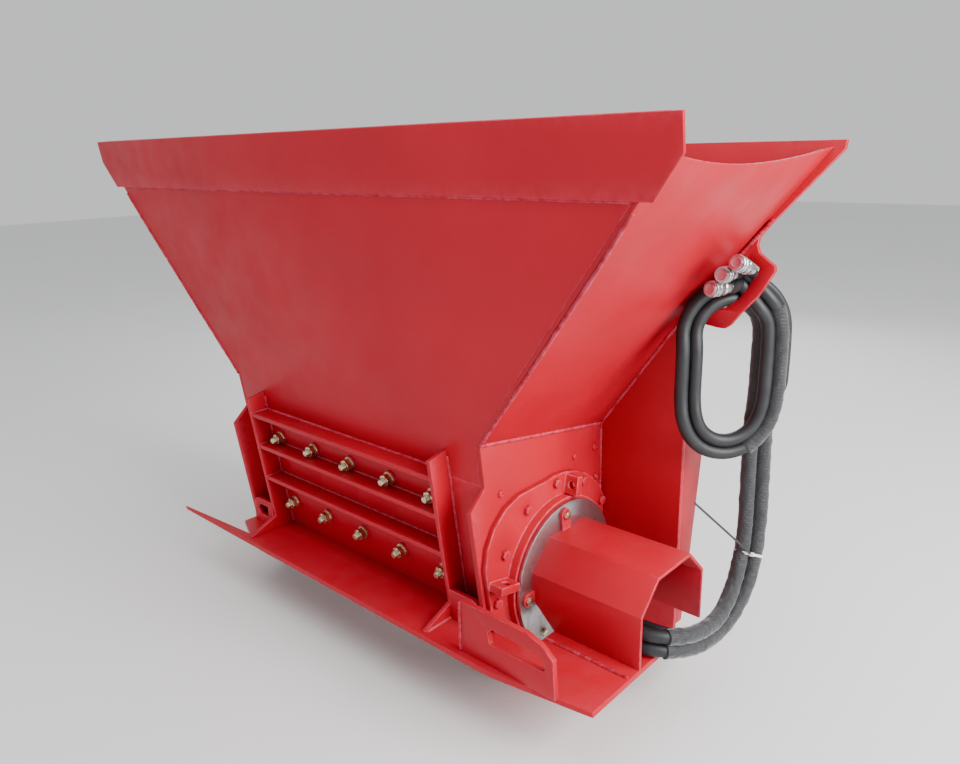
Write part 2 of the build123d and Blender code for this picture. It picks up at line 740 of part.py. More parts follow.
def motor_bolt_places():
    reach = MOTOR_FLANGE / 2 - 10
    return [(a * reach, AXIS_Z + b * reach) for a in (-1, 1) for b in (-1, 1)]


def motor_bolts():
    return group([hex_bolt_x(FACE_X + 16, 5, 13, 16, y, z) for y, z in motor_bolt_places()])


# ---------------------------------------------------------------- guard over the motor
def guard_shell_outline(offset):
    near = -GUARD_HALF + offset
    far = GUARD_HALF - offset
    flat = GUARD_FLAT_HALF - offset * tan(radians(22.5))
    shoulder = GUARD_SHOULDER_Z - offset * tan(radians(22.5))
    top = GUARD_TOP_Z - offset
    return near, far, flat, shoulder, top


def motor_guard():
    """Bent five-sided guard with an open outer end."""
    near, far, flat, shoulder, top = guard_shell_outline(0)
    outside = [(near, BASE_TOP_Z), (near, shoulder), (-flat, top), (flat, top), (far, shoulder),
               (far, GUARD_FAR_Z)]
    near_in, far_in, flat_in, shoulder_in, top_in = guard_shell_outline(GUARD_THICK)
    inside = [(far_in, GUARD_FAR_Z), (far_in, shoulder_in), (flat_in, top_in), (-flat_in, top_in),
              (near_in, shoulder_in), (near_in, BASE_TOP_Z)]
    shell = slice_x(outside + inside, FACE_X, BASE_END_X)
    corner = [(FACE_X - 1, 100.0), (500.0, 100.0), (500.0, BASE_TOP_Z), (FACE_X - 1, 205.0)]
    shell = shell - slice_y(corner, near - 5, near + 20)
    for angle in GUARD_TABS:
        shell = shell + guard_tab(angle)
    return shell


GUARD_TABS = (95, 183, 2)
PLAIN_RING_BOLTS = (235, 270, 305)
RING_BOLT_ANGLES = GUARD_TABS + PLAIN_RING_BOLTS


def guard_tab(angle):
    """Lug that bolts the guard to the adapter ring."""
    y, z = on_circle(RING_BOLT_R, angle)
    root = (GUARD_TOP_Z - AXIS_Z if 45 < angle < 135 else GUARD_HALF) - GUARD_THICK + 1
    bridge = at_angle(angle) * (Pos(FACE_X + 3, (root + RING_BOLT_R) / 2, 0) * Box(6, RING_BOLT_R - root, 26))
    body = disc_x(13.0, FACE_X, FACE_X + 6, y, z) + bridge
    return body - disc_x(5.0, FACE_X - 1, FACE_X + 7, y, z)


def guard_bolts():
    places = [on_circle(RING_BOLT_R, angle) for angle in GUARD_TABS]
    return group([hex_bolt_x(FACE_X + 6, 4.9, 16, 24, y, z) for y, z in places])


def adapter_bolts():
    places = [on_circle(RING_BOLT_R, angle) for angle in PLAIN_RING_BOLTS]
    return group([hex_bolt_x(FACE_X, 4.9, 16, 18, y, z) for y, z in places])


# ---------------------------------------------------------------- hoses
HOSE_ROUTE = ((636.0, -74.0, 186.0), (674.0, -74.0, 186.0), (709.0, -53.0, 184.0), (731.0, -14.0, 176.0),
              (740.0, 36.0, 168.0), (743.0, 90.0, 168.0), (743.0, 140.0, 184.0), (742.0, 183.0, 219.0),
              (738.0, 215.0, 268.0), (732.0, 238.0, 328.0), (725.0, 251.0, 395.0), (721.0, 257.0, 465.0),
              (722.0, 252.0, 530.0))
HOSE_TURN = (0.0, 0.0, 0.0, 0.0, 0.05, 0.15, 0.4, 0.65, 0.85, 1.0, 1.0, 1.0, 1.0)
VIEW_SIDE = Vector(-0.735, -0.678, 0.0)
TIE_AT = 8
TIE_GAP = 2.8


def hose_points(side):
    """Route of one hose: the shared route moved to one side, upright at first and level further up."""
    centre = [Vector(*point) for point in HOSE_ROUTE]
    moved = []
    for i, point in enumerate(centre):
        tangent = (centre[min(i + 1, len(centre) - 1)] - centre[max(i - 1, 0)]).normalized()
        wish = Vector(0, 0, 1) * (1 - HOSE_TURN[i]) + VIEW_SIDE * HOSE_TURN[i]
        across = (wish - tangent * wish.dot(tangent)).normalized()
        if i < 2:
            across = Vector(0, 0, 1)
        moved.append(point + across * side * HOSE_SIDE)
    return moved


def corner_radii(points):
    """Largest arc for each inner corner: 0.45 of the shorter run over the tangent of half the turn."""
    radii = []
    for before, here, after in zip(points, points[1:], points[2:]):
        turn = radians((here - before).get_angle(after - here))
        shorter = min((here - before).length, (after - here).length)
        radii.append(0.45 * shorter / tan(turn / 2))
    return radii


def tube(points, radius):
    """Round tube swept along straight runs joined by tangent arcs."""
    radii = corner_radii(points)
    print("cord radii", [round(r) for r in radii])
    path = FilletPolyline(*points, radius=radii)
    start = Plane(origin=points[0], z_dir=points[1] - points[0])
    swept = sweep(start * Circle(radius), path=path)
    print("volume", round(swept.volume), "section x length", round(pi * radius ** 2 * path.length))
    return swept


COIL_CENTRE = (684.0, 184.0, 646.0)
COIL_HALF = 80.0
COIL_STRAIGHT = 142.0
COIL_R = 32.0
COIL_HEADING = 51.3
EAR_CLEAR = 13.0
NECK_R = 11.0
NECK_POINT = (683.0, 196.0, 800.0)


def hose_coil():
    """Outer shape of the hanging coil: an upright oval ring that narrows where it passes through the ear."""
    half = COIL_STRAIGHT / 2
    bend = Rot(90, 0, 0) * Torus(COIL_HALF, COIL_R)
    reach = COIL_HALF + COIL_R + 1
    upper = bend & block(-reach, reach, -reach, reach, 0, reach)
    lower = bend & block(-reach, reach, -reach, reach, -reach, 0)
    sides = Pos(COIL_HALF, 0, 0) * Cylinder(COIL_R, COIL_STRAIGHT)
    sides = sides + Pos(-COIL_HALF, 0, 0) * Cylinder(COIL_R, COIL_STRAIGHT)
    oval = Pos(0, 0, half) * upper + Pos(0, 0, -half) * lower + sides
    ring = Pos(*COIL_CENTRE) * Rot(0, 0, COIL_HEADING) * oval
    ear_side = PANEL_Y - EAR_CLEAR
    ear_back = PANEL_Y + BACK_THICK + EAR_CLEAR * 2.7
    around_ear = block(600, 800, ear_side, ear_back, 700, 900)
    neck = Pos(*NECK_POINT) * Rot(0, 0, COIL_HEADING) * Rot(0, 90, 0) * Cylinder(NECK_R, 150)
    coil = (ring - around_ear) + (neck & block(600, 800, ear_side - 14, ear_back + 14, 700, 900))
    for k in range(len(COUPLERS)):
        coil = coil - stack(along(k), COUPLER_R + REST_GAP, -20, COUPLER_LENGTH + 2)
    return coil


def hose(side):
    points = hose_points(side)
    return tube(points, HOSE_D / 2) - hose_coil()


def cable_tie():
    """Strap with its lock around the two risers."""
    low, high = hose_points(-1)[TIE_AT], hose_points(1)[TIE_AT]
    after = hose_points(1)[TIE_AT + 1] - high
    heading = (high - low).normalized()
    frame = Plane(origin=(low + high) / 2, x_dir=heading, z_dir=after)
    inside = extrude(frame * SlotCenterToCenter((high - low).length, HOSE_D + 2 * TIE_GAP), 3, both=True)
    outside = extrude(frame * SlotCenterToCenter((high - low).length, HOSE_D + 2 * TIE_GAP + 3), 3, both=True)
    lock = frame * (Pos(0, -(HOSE_D / 2 + TIE_GAP + 3.5), 0) * Box(9, 5, 8))
    return outside + lock - inside


def hose_fittings():
    """Crimped ends and swivel nuts between the motor ports and the hoses."""
    parts = []
    start = HOSE_ROUTE[0]
    for side in (-1, 1):
        z = start[2] + side * HOSE_SIDE
        pipe = disc_x(8.0, PORT_X, start[0] - 30, start[1], z)
        nut = Pos(PORT_X + 6, start[1], z) * Rot(0, 90, 0) * hex_prism(23, 16)
        ferrule = disc_x(11.5, start[0] - 34, start[0], start[1], z)
        parts.append(pipe + nut + ferrule)
    return group(parts)


# ---------------------------------------------------------------- couplers
# front end and rear end of each coupler, then the place where its tail crosses the ear slot
COUPLERS = (((690.0, 78.0, 818.0), (690.0, 162.0, 810.0), (685.0, 200.0, 816.0)),
            ((712.0, 74.0, 845.0), (698.0, 158.0, 838.0), (688.0, 207.0, 836.0)),
            ((737.0, 72.0, 868.0), (727.0, 154.0, 846.0), (706.0, 205.0, 831.0)))
COUPLER_LENGTH = 84.0
REST_GAP = 0.5
TAIL_END = (704.0, 246.0, 796.0)


def along(k):
    """Frame with its origin at the coupler's front end and +Z toward the hose."""
    front = Vector(*COUPLERS[k][0])
    return Plane(origin=front, z_dir=Vector(*COUPLERS[k][1]) - front)


def stack(plane, radius, low, high):
    """Cylinder on a plane's normal between two distances."""
    return plane * (Pos(0, 0, (low + high) / 2) * Cylinder(radius, high - low))


def coupler_body(k):
    frame = along(k)
    barrel = stack(frame, 11.0, 0, 42)
    nut = frame * (Pos(0, 0, 42) * hex_prism(25, 16))
    ferrule = stack(frame, 10.5, 58, COUPLER_LENGTH)
    bore = stack(frame, 7.0, -1, 20)
    return barrel + nut + ferrule - bore


def coupler_sleeve(k):
    frame = along(k)
    ring = stack(frame, COUPLER_R, 2, 33) - stack(frame, 11.0 + RUN_GAP, 1, 34)
    groove = stack(frame, COUPLER_R + 1, 12, 16) - stack(frame, COUPLER_R - 1.2, 11, 17)
    return ring - groove


def coupler_caps():
    return group([stack(along(k), 11.0, -5, 0) + stack(along(k), 7.0, 0, 8) for k in range(3)])


def coupler_tail(k):
    """Bare hose end from the coupler through the ear slot to the coil behind it."""
    frame = along(k)
    rear = frame * (Pos(0, 0, COUPLER_LENGTH) * Cylinder(1, 1))
    start = rear.center()
    slot = Vector(*COUPLERS[k][2])
    target = Vector(*TAIL_END)
    first = Plane(origin=start, z_dir=slot - start)
    second = Plane(origin=slot, z_dir=target - slot)
    reach = (slot - start).length
    piece = stack(first, TAIL_R, 0, reach) + Pos(*slot) * Sphere(TAIL_R)
    piece = piece + stack(second, TAIL_R, 0, (target - slot).length) - hose_coil() - coupler_body(k)
    return piece.solids().sort_by(SortBy.VOLUME)[-1]


NODES = {
    "hopper_front_wall": hopper_front_wall,
    "lip_band": lip_band,
    "hopper_back_wall": hopper_back_wall,
    "end_wall_right": end_wall,
    "end_wall_left": lambda: mirror_x(end_wall()),
    "end_plate_right": lambda: end_plate(SPIGOT_R),
    "end_plate_left": lambda: mirror_x(end_plate(SHAFT_R + 3)),
    "skid_runners": lambda: group([skid_runner(), mirror_x(skid_runner())]),
    "chamber_front_wall": chamber_front_wall,
    "front_liner": front_liner,
    "liner_bolts": liner_bolts,
    "liner_nuts": liner_nuts,
    "liner_washers": liner_washers,
    "front_posts": front_posts,
    "front_ribs": front_ribs,
    "base_plate": base_plate,
    "wing_plate": wing_plate,
    "foot_webs": lambda: group([foot_web(-1, True), foot_web(1, False)]),
    "quick_attach_sides": lambda: group([side_strip(), mirror_x(side_strip())]),
    "quick_attach_rails": lambda: group([top_rail(), bottom_rail()]),
    "rear_liner": rear_liner,
    "side_liners": side_liners,
    "side_liner_bolts": side_liner_bolts,
    "rotor_drum": rotor_drum,
    "rotor_hubs": rotor_hubs,
    "rotor_teeth": rotor_teeth,
    "rotor_shaft": rotor_shaft,
    "bearing_housing": bearing_housing,
    "bearing_outer_ring": bearing_outer_ring,
    "bearing_inner_ring": bearing_inner_ring,
    "bearing_rollers": bearing_rollers,
    "shaft_seal": shaft_seal,
    "bearing_cap": bearing_cap,
    "bearing_bolts": lambda: group([bearing_cap_bolts(), bearing_housing_bolts()]),
    "gearbox_housing": gearbox_housing,
    "gearbox_flange_bolts": flange_bolts,
    "adapter_ring": adapter_ring,
    "output_bearing": output_bearing,
    "planet_carrier": planet_carrier,
    "planet_gear_1": lambda: planet_gear(0),
    "planet_gear_2": lambda: planet_gear(1),
    "planet_gear_3": lambda: planet_gear(2),
    "ring_gear": ring_gear,
    "sun_gear": sun_gear,
    "motor_shaft": motor_shaft,
    "hydraulic_motor": hydraulic_motor,
    "motor_bolts": motor_bolts,
    "motor_guard": motor_guard,
    "ring_bolts": lambda: group([guard_bolts(), adapter_bolts()]),
    "hose_fittings": hose_fittings,
    "hose_upper": lambda: hose(1),
    "hose_lower": lambda: hose(-1),
    "hose_coil": hose_coil,
    "coupler_bodies": lambda: group([coupler_body(k) for k in range(3)]),
    "coupler_sleeve_1": lambda: coupler_sleeve(0),
    "coupler_sleeve_2": lambda: coupler_sleeve(1),
    "coupler_sleeve_3": lambda: coupler_sleeve(2),
    "coupler_caps": coupler_caps,
    "coupler_tails": lambda: group([coupler_tail(k) for k in range(3)]),
    "cable_tie": cable_tie,
}

if __name__ == "__main__":
    for name, make in NODES.items():
        export_step(make(), f"parts/{name}.step")
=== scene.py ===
"""Looks of a hydraulic crusher hopper: painted steel, fasteners, weld beads, hoses and couplers."""

from __future__ import annotations

import json
import logging
import math
from dataclasses import dataclass, field
from enum import Enum
from typing import Callable, Iterable, Sequence

import bmesh
import bpy
from mathutils import Matrix, Vector

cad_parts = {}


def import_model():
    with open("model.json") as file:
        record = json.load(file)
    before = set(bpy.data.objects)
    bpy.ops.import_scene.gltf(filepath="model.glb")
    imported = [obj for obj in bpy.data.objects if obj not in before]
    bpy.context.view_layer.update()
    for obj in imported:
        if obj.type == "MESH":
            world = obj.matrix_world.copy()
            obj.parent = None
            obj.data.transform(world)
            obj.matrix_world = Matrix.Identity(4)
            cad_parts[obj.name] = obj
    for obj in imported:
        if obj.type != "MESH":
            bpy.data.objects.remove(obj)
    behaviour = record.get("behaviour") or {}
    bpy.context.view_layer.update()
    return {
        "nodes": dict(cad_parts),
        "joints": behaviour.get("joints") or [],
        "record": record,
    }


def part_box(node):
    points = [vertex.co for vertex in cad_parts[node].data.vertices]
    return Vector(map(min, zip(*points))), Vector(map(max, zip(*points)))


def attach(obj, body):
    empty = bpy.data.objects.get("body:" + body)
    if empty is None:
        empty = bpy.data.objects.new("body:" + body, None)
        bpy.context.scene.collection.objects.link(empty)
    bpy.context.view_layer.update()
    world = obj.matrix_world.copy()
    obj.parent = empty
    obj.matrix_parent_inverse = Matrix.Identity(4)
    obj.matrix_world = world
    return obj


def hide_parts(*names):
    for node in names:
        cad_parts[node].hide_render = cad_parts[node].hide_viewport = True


LOG = logging.getLogger("crusher_hopper")
MM = 0.001
MAIN_BODY = "frame"
UP = Vector((0.0, 0.0, 1.0))
RIGHT = Vector((1.0, 0.0, 0.0))
SIDES = ((1, "right"), (-1, "left"))

# Places on the frame that no node box gives, in metres.
WALL_AT_DECK_Y = -0.1586
DECK_TOP_Z = 0.153
CHAMBER_X = 0.405
WAIST_X = 0.4055
WAIST_FRONT_Z = 0.545
WAIST_REAR = (0.175, 0.484)
POST_THICK = 10 * MM
POST_WELD_TOP_Z = 0.50
RIB_END_X = 0.3025
RIB_DEPTH = 0.043
RIB_TOPS = (0.468, 0.385, 0.299)
CORNER_FRONT = ((CHAMBER_X, WAIST_FRONT_Z), (0.531, 0.70), (0.690, 0.90), (0.7435, 0.972))
GUARD_FOOT = (0.505, 0.686)
LIP_WELD_X = 0.742

# Hose routes, in millimetres.
HOSE_ROUTE = ((636.0, -74.0, 186.0), (674.0, -74.0, 186.0), (709.0, -53.0, 184.0), (731.0, -14.0, 176.0),
              (740.0, 36.0, 168.0), (743.0, 90.0, 168.0), (743.0, 140.0, 184.0), (742.0, 183.0, 219.0),
              (738.0, 215.0, 268.0), (732.0, 238.0, 328.0), (725.0, 251.0, 395.0), (721.0, 257.0, 465.0),
              (722.0, 252.0, 530.0))
HOSE_TURN = (0.0, 0.0, 0.0, 0.0, 0.05, 0.15, 0.4, 0.65, 0.85, 1.0, 1.0, 1.0, 1.0)
PAIR_ACROSS = Vector((-0.735, -0.678, 0.0))
HOSE_SIDE = 14.0
DRAIN_LEAD = (Vector((664.0, -26.0, 186.0)), Vector((697.0, -15.0, 182.0)))
DRAIN_BEHIND = 23.0
COIL_CENTRE = Vector((684.0, 184.0, 646.0))
COIL_HEADING = math.radians(51.3)
COIL_ALONG = Vector((math.cos(COIL_HEADING), math.sin(COIL_HEADING), 0.0))
COIL_FACE = Vector((COIL_ALONG.y, -COIL_ALONG.x, 0.0))
COIL_HALF = 80.0
COIL_STRAIGHT = 71.0
TIE_AT = 8
HOSE_LOWER = ("hose_lower", "hose_coil")
HOSE_UPPER = ("hose_upper", "coupler_tails")

Tree = bpy.types.NodeTree
Socket = bpy.types.NodeSocket
Material = bpy.types.Material
Piece = bpy.types.Object
Shape = bmesh.types.BMesh
Profile = Sequence[tuple[float, float]]
RadiusRule = Callable[[float, float, float], float]


# ---------------------------------------------------------------- node helpers
def linear(colour: str) -> tuple[float, float, float, float]:
    """Turn an sRGB hex colour into a linear one.

    Args:
        colour: Six hex digits.
    Returns:
        Linear red, green and blue, with an alpha of 1.
    """
    parts = [int(colour[i:i + 2], 16) / 255 for i in (0, 2, 4)]
    low = [c / 12.92 if c <= 0.04045 else ((c + 0.055) / 1.055) ** 2.4 for c in parts]
    return low[0], low[1], low[2], 1.0


def add(tree: Tree, kind: str, inputs: dict | None = None, **settings: object) -> bpy.types.Node:
    """Add one node with its settings, values and links.

    Args:
        tree: Shader or geometry tree that takes the node.
        kind: Node type, such as ShaderNodeMix.
        inputs: Socket name or index to a value, or to a socket that is linked in.
        settings: Properties of the node itself.
    Returns:
        The new node.
    """
    node = tree.nodes.new(kind)
    for name, value in settings.items():
        setattr(node, name, value)
    feed(tree, node, inputs or {})
    return node


def feed(tree: Tree, node: bpy.types.Node, inputs: dict) -> None:
    """Set or link inputs of a node.

    Args:
        tree: Tree that holds the node.
        node: The node.
        inputs: Socket name or index to a value, or to a socket that is linked in.
    """
    for name, value in inputs.items():
        if isinstance(value, Socket):
            tree.links.new(value, node.inputs[name])
        else:
            node.inputs[name].default_value = value


def ramp(tree: Tree, value: Socket, low: float, high: float, start: float = 0.0, end: float = 1.0) -> Socket:
    """Map a value between two limits to another two.

    Args:
        tree: Shader tree.
        value: Socket to map.
        low: Value that becomes start.
        high: Value that becomes end.
        start: Result at low.
        end: Result at high.
    Returns:
        The mapped socket.
    """
    limits = {"Value": value, "From Min": low, "From Max": high, "To Min": start, "To Max": end}
    return add(tree, "ShaderNodeMapRange", limits, clamp=True).outputs["Result"]


def math_node(tree: Tree, kind: str, first: object, second: object) -> Socket:
    """Combine two numbers.

    Args:
        tree: Shader or geometry tree.
        kind: Operation, such as MULTIPLY.
        first: Value or socket.
        second: Value or socket.
    Returns:
        The result's socket.
    """
    return add(tree, "ShaderNodeMath", {0: first, 1: second}, operation=kind).outputs[0]


def bump(tree: Tree, height: Socket, strength: float, deep_mm: float, under: Socket | None = None) -> Socket:
    """Raise a pattern on a surface.

    Args:
        tree: Shader tree.
        height: Pattern.
        strength: How much of it shows.
        deep_mm: Its depth in millimetres.
        under: Normal that it is laid on, if not the surface's own.
    Returns:
        The normal's socket.
    """
    inputs = {"Height": height, "Strength": strength, "Distance": deep_mm * MM}
    if under is not None:
        inputs["Normal"] = under
    return add(tree, "ShaderNodeBump", inputs).outputs[0]


def mix(tree: Tree, share: Socket, first: object, second: object) -> Socket:
    """Mix two colours, each a hex string or a socket.

    Args:
        tree: Shader tree.
        share: 0 shows the first colour and 1 the second.
        first: Colour or socket.
        second: Colour or socket.
    Returns:
        The mixed colour's socket.
    """
    ends = [linear(c) if isinstance(c, str) else c for c in (first, second)]
    node = add(tree, "ShaderNodeMix", {0: share, 6: ends[0], 7: ends[1]}, data_type="RGBA")
    return node.outputs[2]


def new_material(name: str) -> tuple[Material, Tree, bpy.types.Node, Socket]:
    """Start a node material.

    Args:
        name: Material name.
    Returns:
        The material, its tree, its main shader and the object coordinates.
    """
    material = bpy.data.materials.new(name)
    material.use_nodes = True
    tree = material.node_tree
    tree.nodes.clear()
    shader = add(tree, "ShaderNodeBsdfPrincipled")
    add(tree, "ShaderNodeOutputMaterial", {"Surface": shader.outputs["BSDF"]})
    where = add(tree, "ShaderNodeTexCoord").outputs["Object"]
    return material, tree, shader, where


def noise(tree: Tree, where: Socket, size_mm: float, detail: float = 3.0
          ) -> Socket:
    """Noise whose features are about size_mm wide.

    Args:
        tree: Shader tree.
        where: Coordinates in metres.
        size_mm: Feature width in millimetres.
        detail: Octaves.
    Returns:
        The noise value's socket.
    """
    scale = 1 / (size_mm * MM)
    return add(tree, "ShaderNodeTexNoise", {"Vector": where, "Scale": scale, "Detail": detail}).outputs[0]


# ---------------------------------------------------------------- finishes
@dataclass(frozen=True)
class Enamel:
    """Alkyd enamel sprayed over shot-blasted steel: a glossy even film with fine orange peel."""

    name: str
    colour: str
    shade: str
    # colour of the painted highlight on the rounded edges, not of the paint film itself
    edge: str
    gloss: float = 0.42
    peel_mm: float = 5.0
    edge_mm: float = 2.2
    peel_depth: float = 0.05
    dust: str = "a81e2c"
    # under the usual 0.5, so that the film keeps its deep colour under broad soft lights
    reflection: float = 0.22

    def build(self) -> Material:
        """Make the paint: patchy film thickness, a painted highlight along the rounded edges, a trace of dust on faces
        that look up.

        Returns:
            The material.
        """
        material, tree, shader, where = new_material(self.name)
        patches = ramp(tree, noise(tree, where, 260, 4), 0.35, 0.68)
        film = mix(tree, patches, self.colour, self.shade)
        rounded = add(tree, "ShaderNodeBevel", {"Radius": self.edge_mm * MM}, samples=6).outputs[0]
        flat = add(tree, "ShaderNodeNewGeometry").outputs["True Normal"]
        same = add(tree, "ShaderNodeVectorMath", {0: rounded, 1: flat}, operation="DOT_PRODUCT").outputs["Value"]
        # painted highlight: the pale edge colour goes where the rounded normal leaves the flat one, broken up by
        # noise, in place of light caught on the edges
        broken = ramp(tree, noise(tree, where, 14, 5), 0.30, 0.62)
        edge_highlight = math_node(tree, "MULTIPLY", ramp(tree, same, 0.985, 0.80), broken)
        film = mix(tree, edge_highlight, film, self.edge)
        facing_up = ramp(tree, add(tree, "ShaderNodeSeparateXYZ", {0: flat}).outputs["Z"], 0.55, 0.98)
        settled = ramp(tree, noise(tree, where, 45, 6), 0.42, 0.80)
        film = mix(tree, math_node(tree, "MULTIPLY", facing_up, settled), film, self.dust)
        waves = bump(tree, noise(tree, where, 120, 1), 0.05, 4.0, rounded)
        feed(tree, shader, {
            "Base Color": film, "IOR": 1.5, "Specular IOR Level": self.reflection,
            "Roughness": ramp(tree, noise(tree, where, 70, 5), 0.3, 0.7, self.gloss - 0.06, self.gloss + 0.10),
            "Normal": bump(tree, noise(tree, where, self.peel_mm, 2), self.peel_depth, 0.6, waves)})
        return material


@dataclass(frozen=True)
class CastEnamel(Enamel):
    """The same enamel over a sand casting: the grainy skin of the iron shows through as a coarser bump."""

    peel_mm: float = 3.2
    edge_mm: float = 4.0
    peel_depth: float = 0.55
    gloss: float = 0.45


@dataclass(frozen=True)
class Steel:
    """Metal surface: tone drift, fine scratches or brush lines, darker stained spots."""

    name: str
    colour: str
    stain: str
    roughness: float
    stain_from: float = 0.55
    grain_mm: float = 1.6
    stretch: tuple[float, float, float] = (1.0, 1.0, 1.0)
    depth: float = 0.15

    def build(self) -> Material:
        """Make the metal.

        Returns:
            The material.
        """
        material, tree, shader, where = new_material(self.name)
        drawn = add(tree, "ShaderNodeMapping", {"Vector": where, "Scale": self.stretch}).outputs[0]
        grain = noise(tree, drawn, self.grain_mm, 4)
        spots = ramp(tree, noise(tree, where, 22, 6), self.stain_from, 0.78)
        rounded = add(tree, "ShaderNodeBevel", {"Radius": 0.7 * MM}, samples=4).outputs[0]
        feed(tree, shader, {
            "Base Color": mix(tree, spots, self.colour, self.stain), "Metallic": 1.0,
            "Roughness": ramp(tree, grain, 0.25, 0.75, self.roughness - 0.08, self.roughness + 0.14),
            "Normal": bump(tree, grain, self.depth, 0.3, rounded)})
        return material


@dataclass(frozen=True)
class Dull:
    """Rubber or moulded plastic: low sheen, fine moulded grain, slight bloom."""

    name: str
    colour: str
    bloom: str
    roughness: float
    grain_mm: float = 1.2
    depth: float = 0.25

    def build(self) -> Material:
        """Make the rubber or plastic.

        Returns:
            The material.
        """
        material, tree, shader, where = new_material(self.name)
        cloudy = ramp(tree, noise(tree, where, 35, 5), 0.40, 0.78)
        feed(tree, shader, {
            "Base Color": mix(tree, cloudy, self.colour, self.bloom), "IOR": 1.48,
            "Roughness": ramp(tree, cloudy, 0.0, 1.0, self.roughness, self.roughness + 0.15),
            "Normal": bump(tree, noise(tree, where, self.grain_mm, 3), self.depth, 0.5)})
        return material


@dataclass(frozen=True)
class WovenSleeve:
    """Woven polyamide hose sleeve: a fine diagonal weave with soft creases, matt and slightly fuzzy."""

    name: str
    colour: str
    thread: str
    thread_mm: float = 2.4

    def build(self) -> Material:
        """Make the cloth. The threads are drawn about twice as coarse as real ones so that they show.

        Returns:
            The material.
        """
        material, tree, shader, where = new_material(self.name)
        slanted = add(tree, "ShaderNodeMapping", {"Vector": where, "Rotation": (0.6, 0.5, 0.785)}).outputs[0]
        lines = {"Vector": slanted, "Scale": 1 / (self.thread_mm * MM * 2 * math.pi), "Distortion": 0.6}
        warp, weft = (add(tree, "ShaderNodeTexWave", lines, bands_direction=way).outputs["Fac"] for way in "XZ")
        weave = math_node(tree, "MULTIPLY", warp, weft)
        creases = ramp(tree, noise(tree, where, 18, 4), 0.35, 0.70)
        cloth = mix(tree, weave, self.colour, self.thread)
        feed(tree, shader, {
            "Base Color": mix(tree, creases, cloth, self.colour), "Roughness": 0.72, "Sheen Weight": 0.35,
            "Normal": bump(tree, weave, 0.5, 0.5, bump(tree, creases, 0.5, 2.0))})
        return material


class Finish(Enum):
    """Every finish on the object."""

    # two-pack enamel on the plates, with a pale pink painted highlight on the edges
    ENAMEL = Enamel("red_alkyd_enamel", "b20822", "a8071f", "e45a74")
    # the same enamel over rough castings, with the same painted highlight on the edges
    CAST = CastEnamel("red_enamel_on_cast_iron", "b60a24", "a6071e", "e45e78")
    # enamel over weld beads, with a painted highlight on the edges
    WELD = CastEnamel("red_enamel_on_weld", "ac0820", "9e061c", "d85570", peel_mm=2.0, peel_depth=0.3)
    # zinc-plated bolts
    ZINC = Steel("yellow_zinc_plate", "d3cba9", "a1916a", 0.30)
    # zinc-plated couplers and fittings
    BRIGHT = Steel("clear_zinc_plate", "c6c8ca", "8b8d90", 0.26)
    # enamelled adapter ring
    RING = Steel("turned_steel", "b9bbbd", "84807a", 0.30, grain_mm=1.0, stretch=(6.0, 1.0, 1.0))
    # wear steel polished by rubble
    WORN = Steel("rubble_polished_wear_steel", "9b9c9d", "5c4a3e", 0.42, stain_from=0.48, grain_mm=3.0, depth=0.4)
    # ground bearing and gear steel
    GROUND = Steel("ground_bearing_steel", "c2c4c6", "9a9c9e", 0.18, stain_from=0.7)
    # bare motor casting
    CASTING = Dull("black_paint_on_casting", "1c1d1f", "34363a", 0.45, grain_mm=3.0, depth=0.5)
    # hose and seal rubber
    RUBBER = Dull("nitrile_hose_cover", "17181a", "26282b", 0.48, grain_mm=1.5, depth=0.2)
    # woven nylon hose sleeve
    SLEEVE = WovenSleeve("woven_polyamide_sleeve", "1b1c1f", "3a3c41")
    # vinyl dust caps
    CAP = Dull("red_vinyl_cap", "a83a4a", "c07a84", 0.38, depth=0.1)
    # cable tie, natural
    NYLON_WHITE = Dull("white_nylon", "e4e4df", "d4d3cc", 0.42, depth=0.08)
    # cable tie, black
    NYLON_BLACK = Dull("black_nylon", "141415", "202123", 0.40, depth=0.08)


class Wardrobe:
    """Builds each finish once and hands it out."""

    def __init__(self) -> None:
        """Start with nothing built."""
        self._made: dict[Finish, Material] = {}

    def get(self, finish: Finish) -> Material:
        """Give the material of a finish.

        Args:
            finish: Which finish.
        Returns:
            Its material.
        """
        if finish not in self._made:
            self._made[finish] = finish.value.build()
        return self._made[finish]


# ---------------------------------------------------------------- mesh helpers
def link(name: str, mesh: bpy.types.Mesh, material: Material | None = None) -> Piece:
    """Put a mesh in the scene.

    Args:
        name: Object name.
        mesh: Its mesh.
        material: Its only material, if given.
    Returns:
        The object.
    """
    piece = bpy.data.objects.new(name, mesh)
    bpy.context.scene.collection.objects.link(piece)
    if material is not None:
        mesh.materials.clear()
        mesh.materials.append(material)
    return piece


def mesh_from(name: str, shape: Shape, sharp_deg: float = 32.0) -> bpy.types.Mesh:
    """Turn a bmesh into a mesh with smooth faces and sharp edges above an angle.

    Args:
        name: Mesh name.
        shape: Source, which is freed.
        sharp_deg: Edges that bend more than this stay sharp.
    Returns:
        The mesh.
    """
    for face in shape.faces:
        face.smooth = True
    for edge in shape.edges:
        if len(edge.link_faces) == 2 and edge.calc_face_angle(0.0) > math.radians(sharp_deg):
            edge.smooth = False
    mesh = bpy.data.meshes.new(name)
    shape.to_mesh(mesh)
    shape.free()
    return mesh


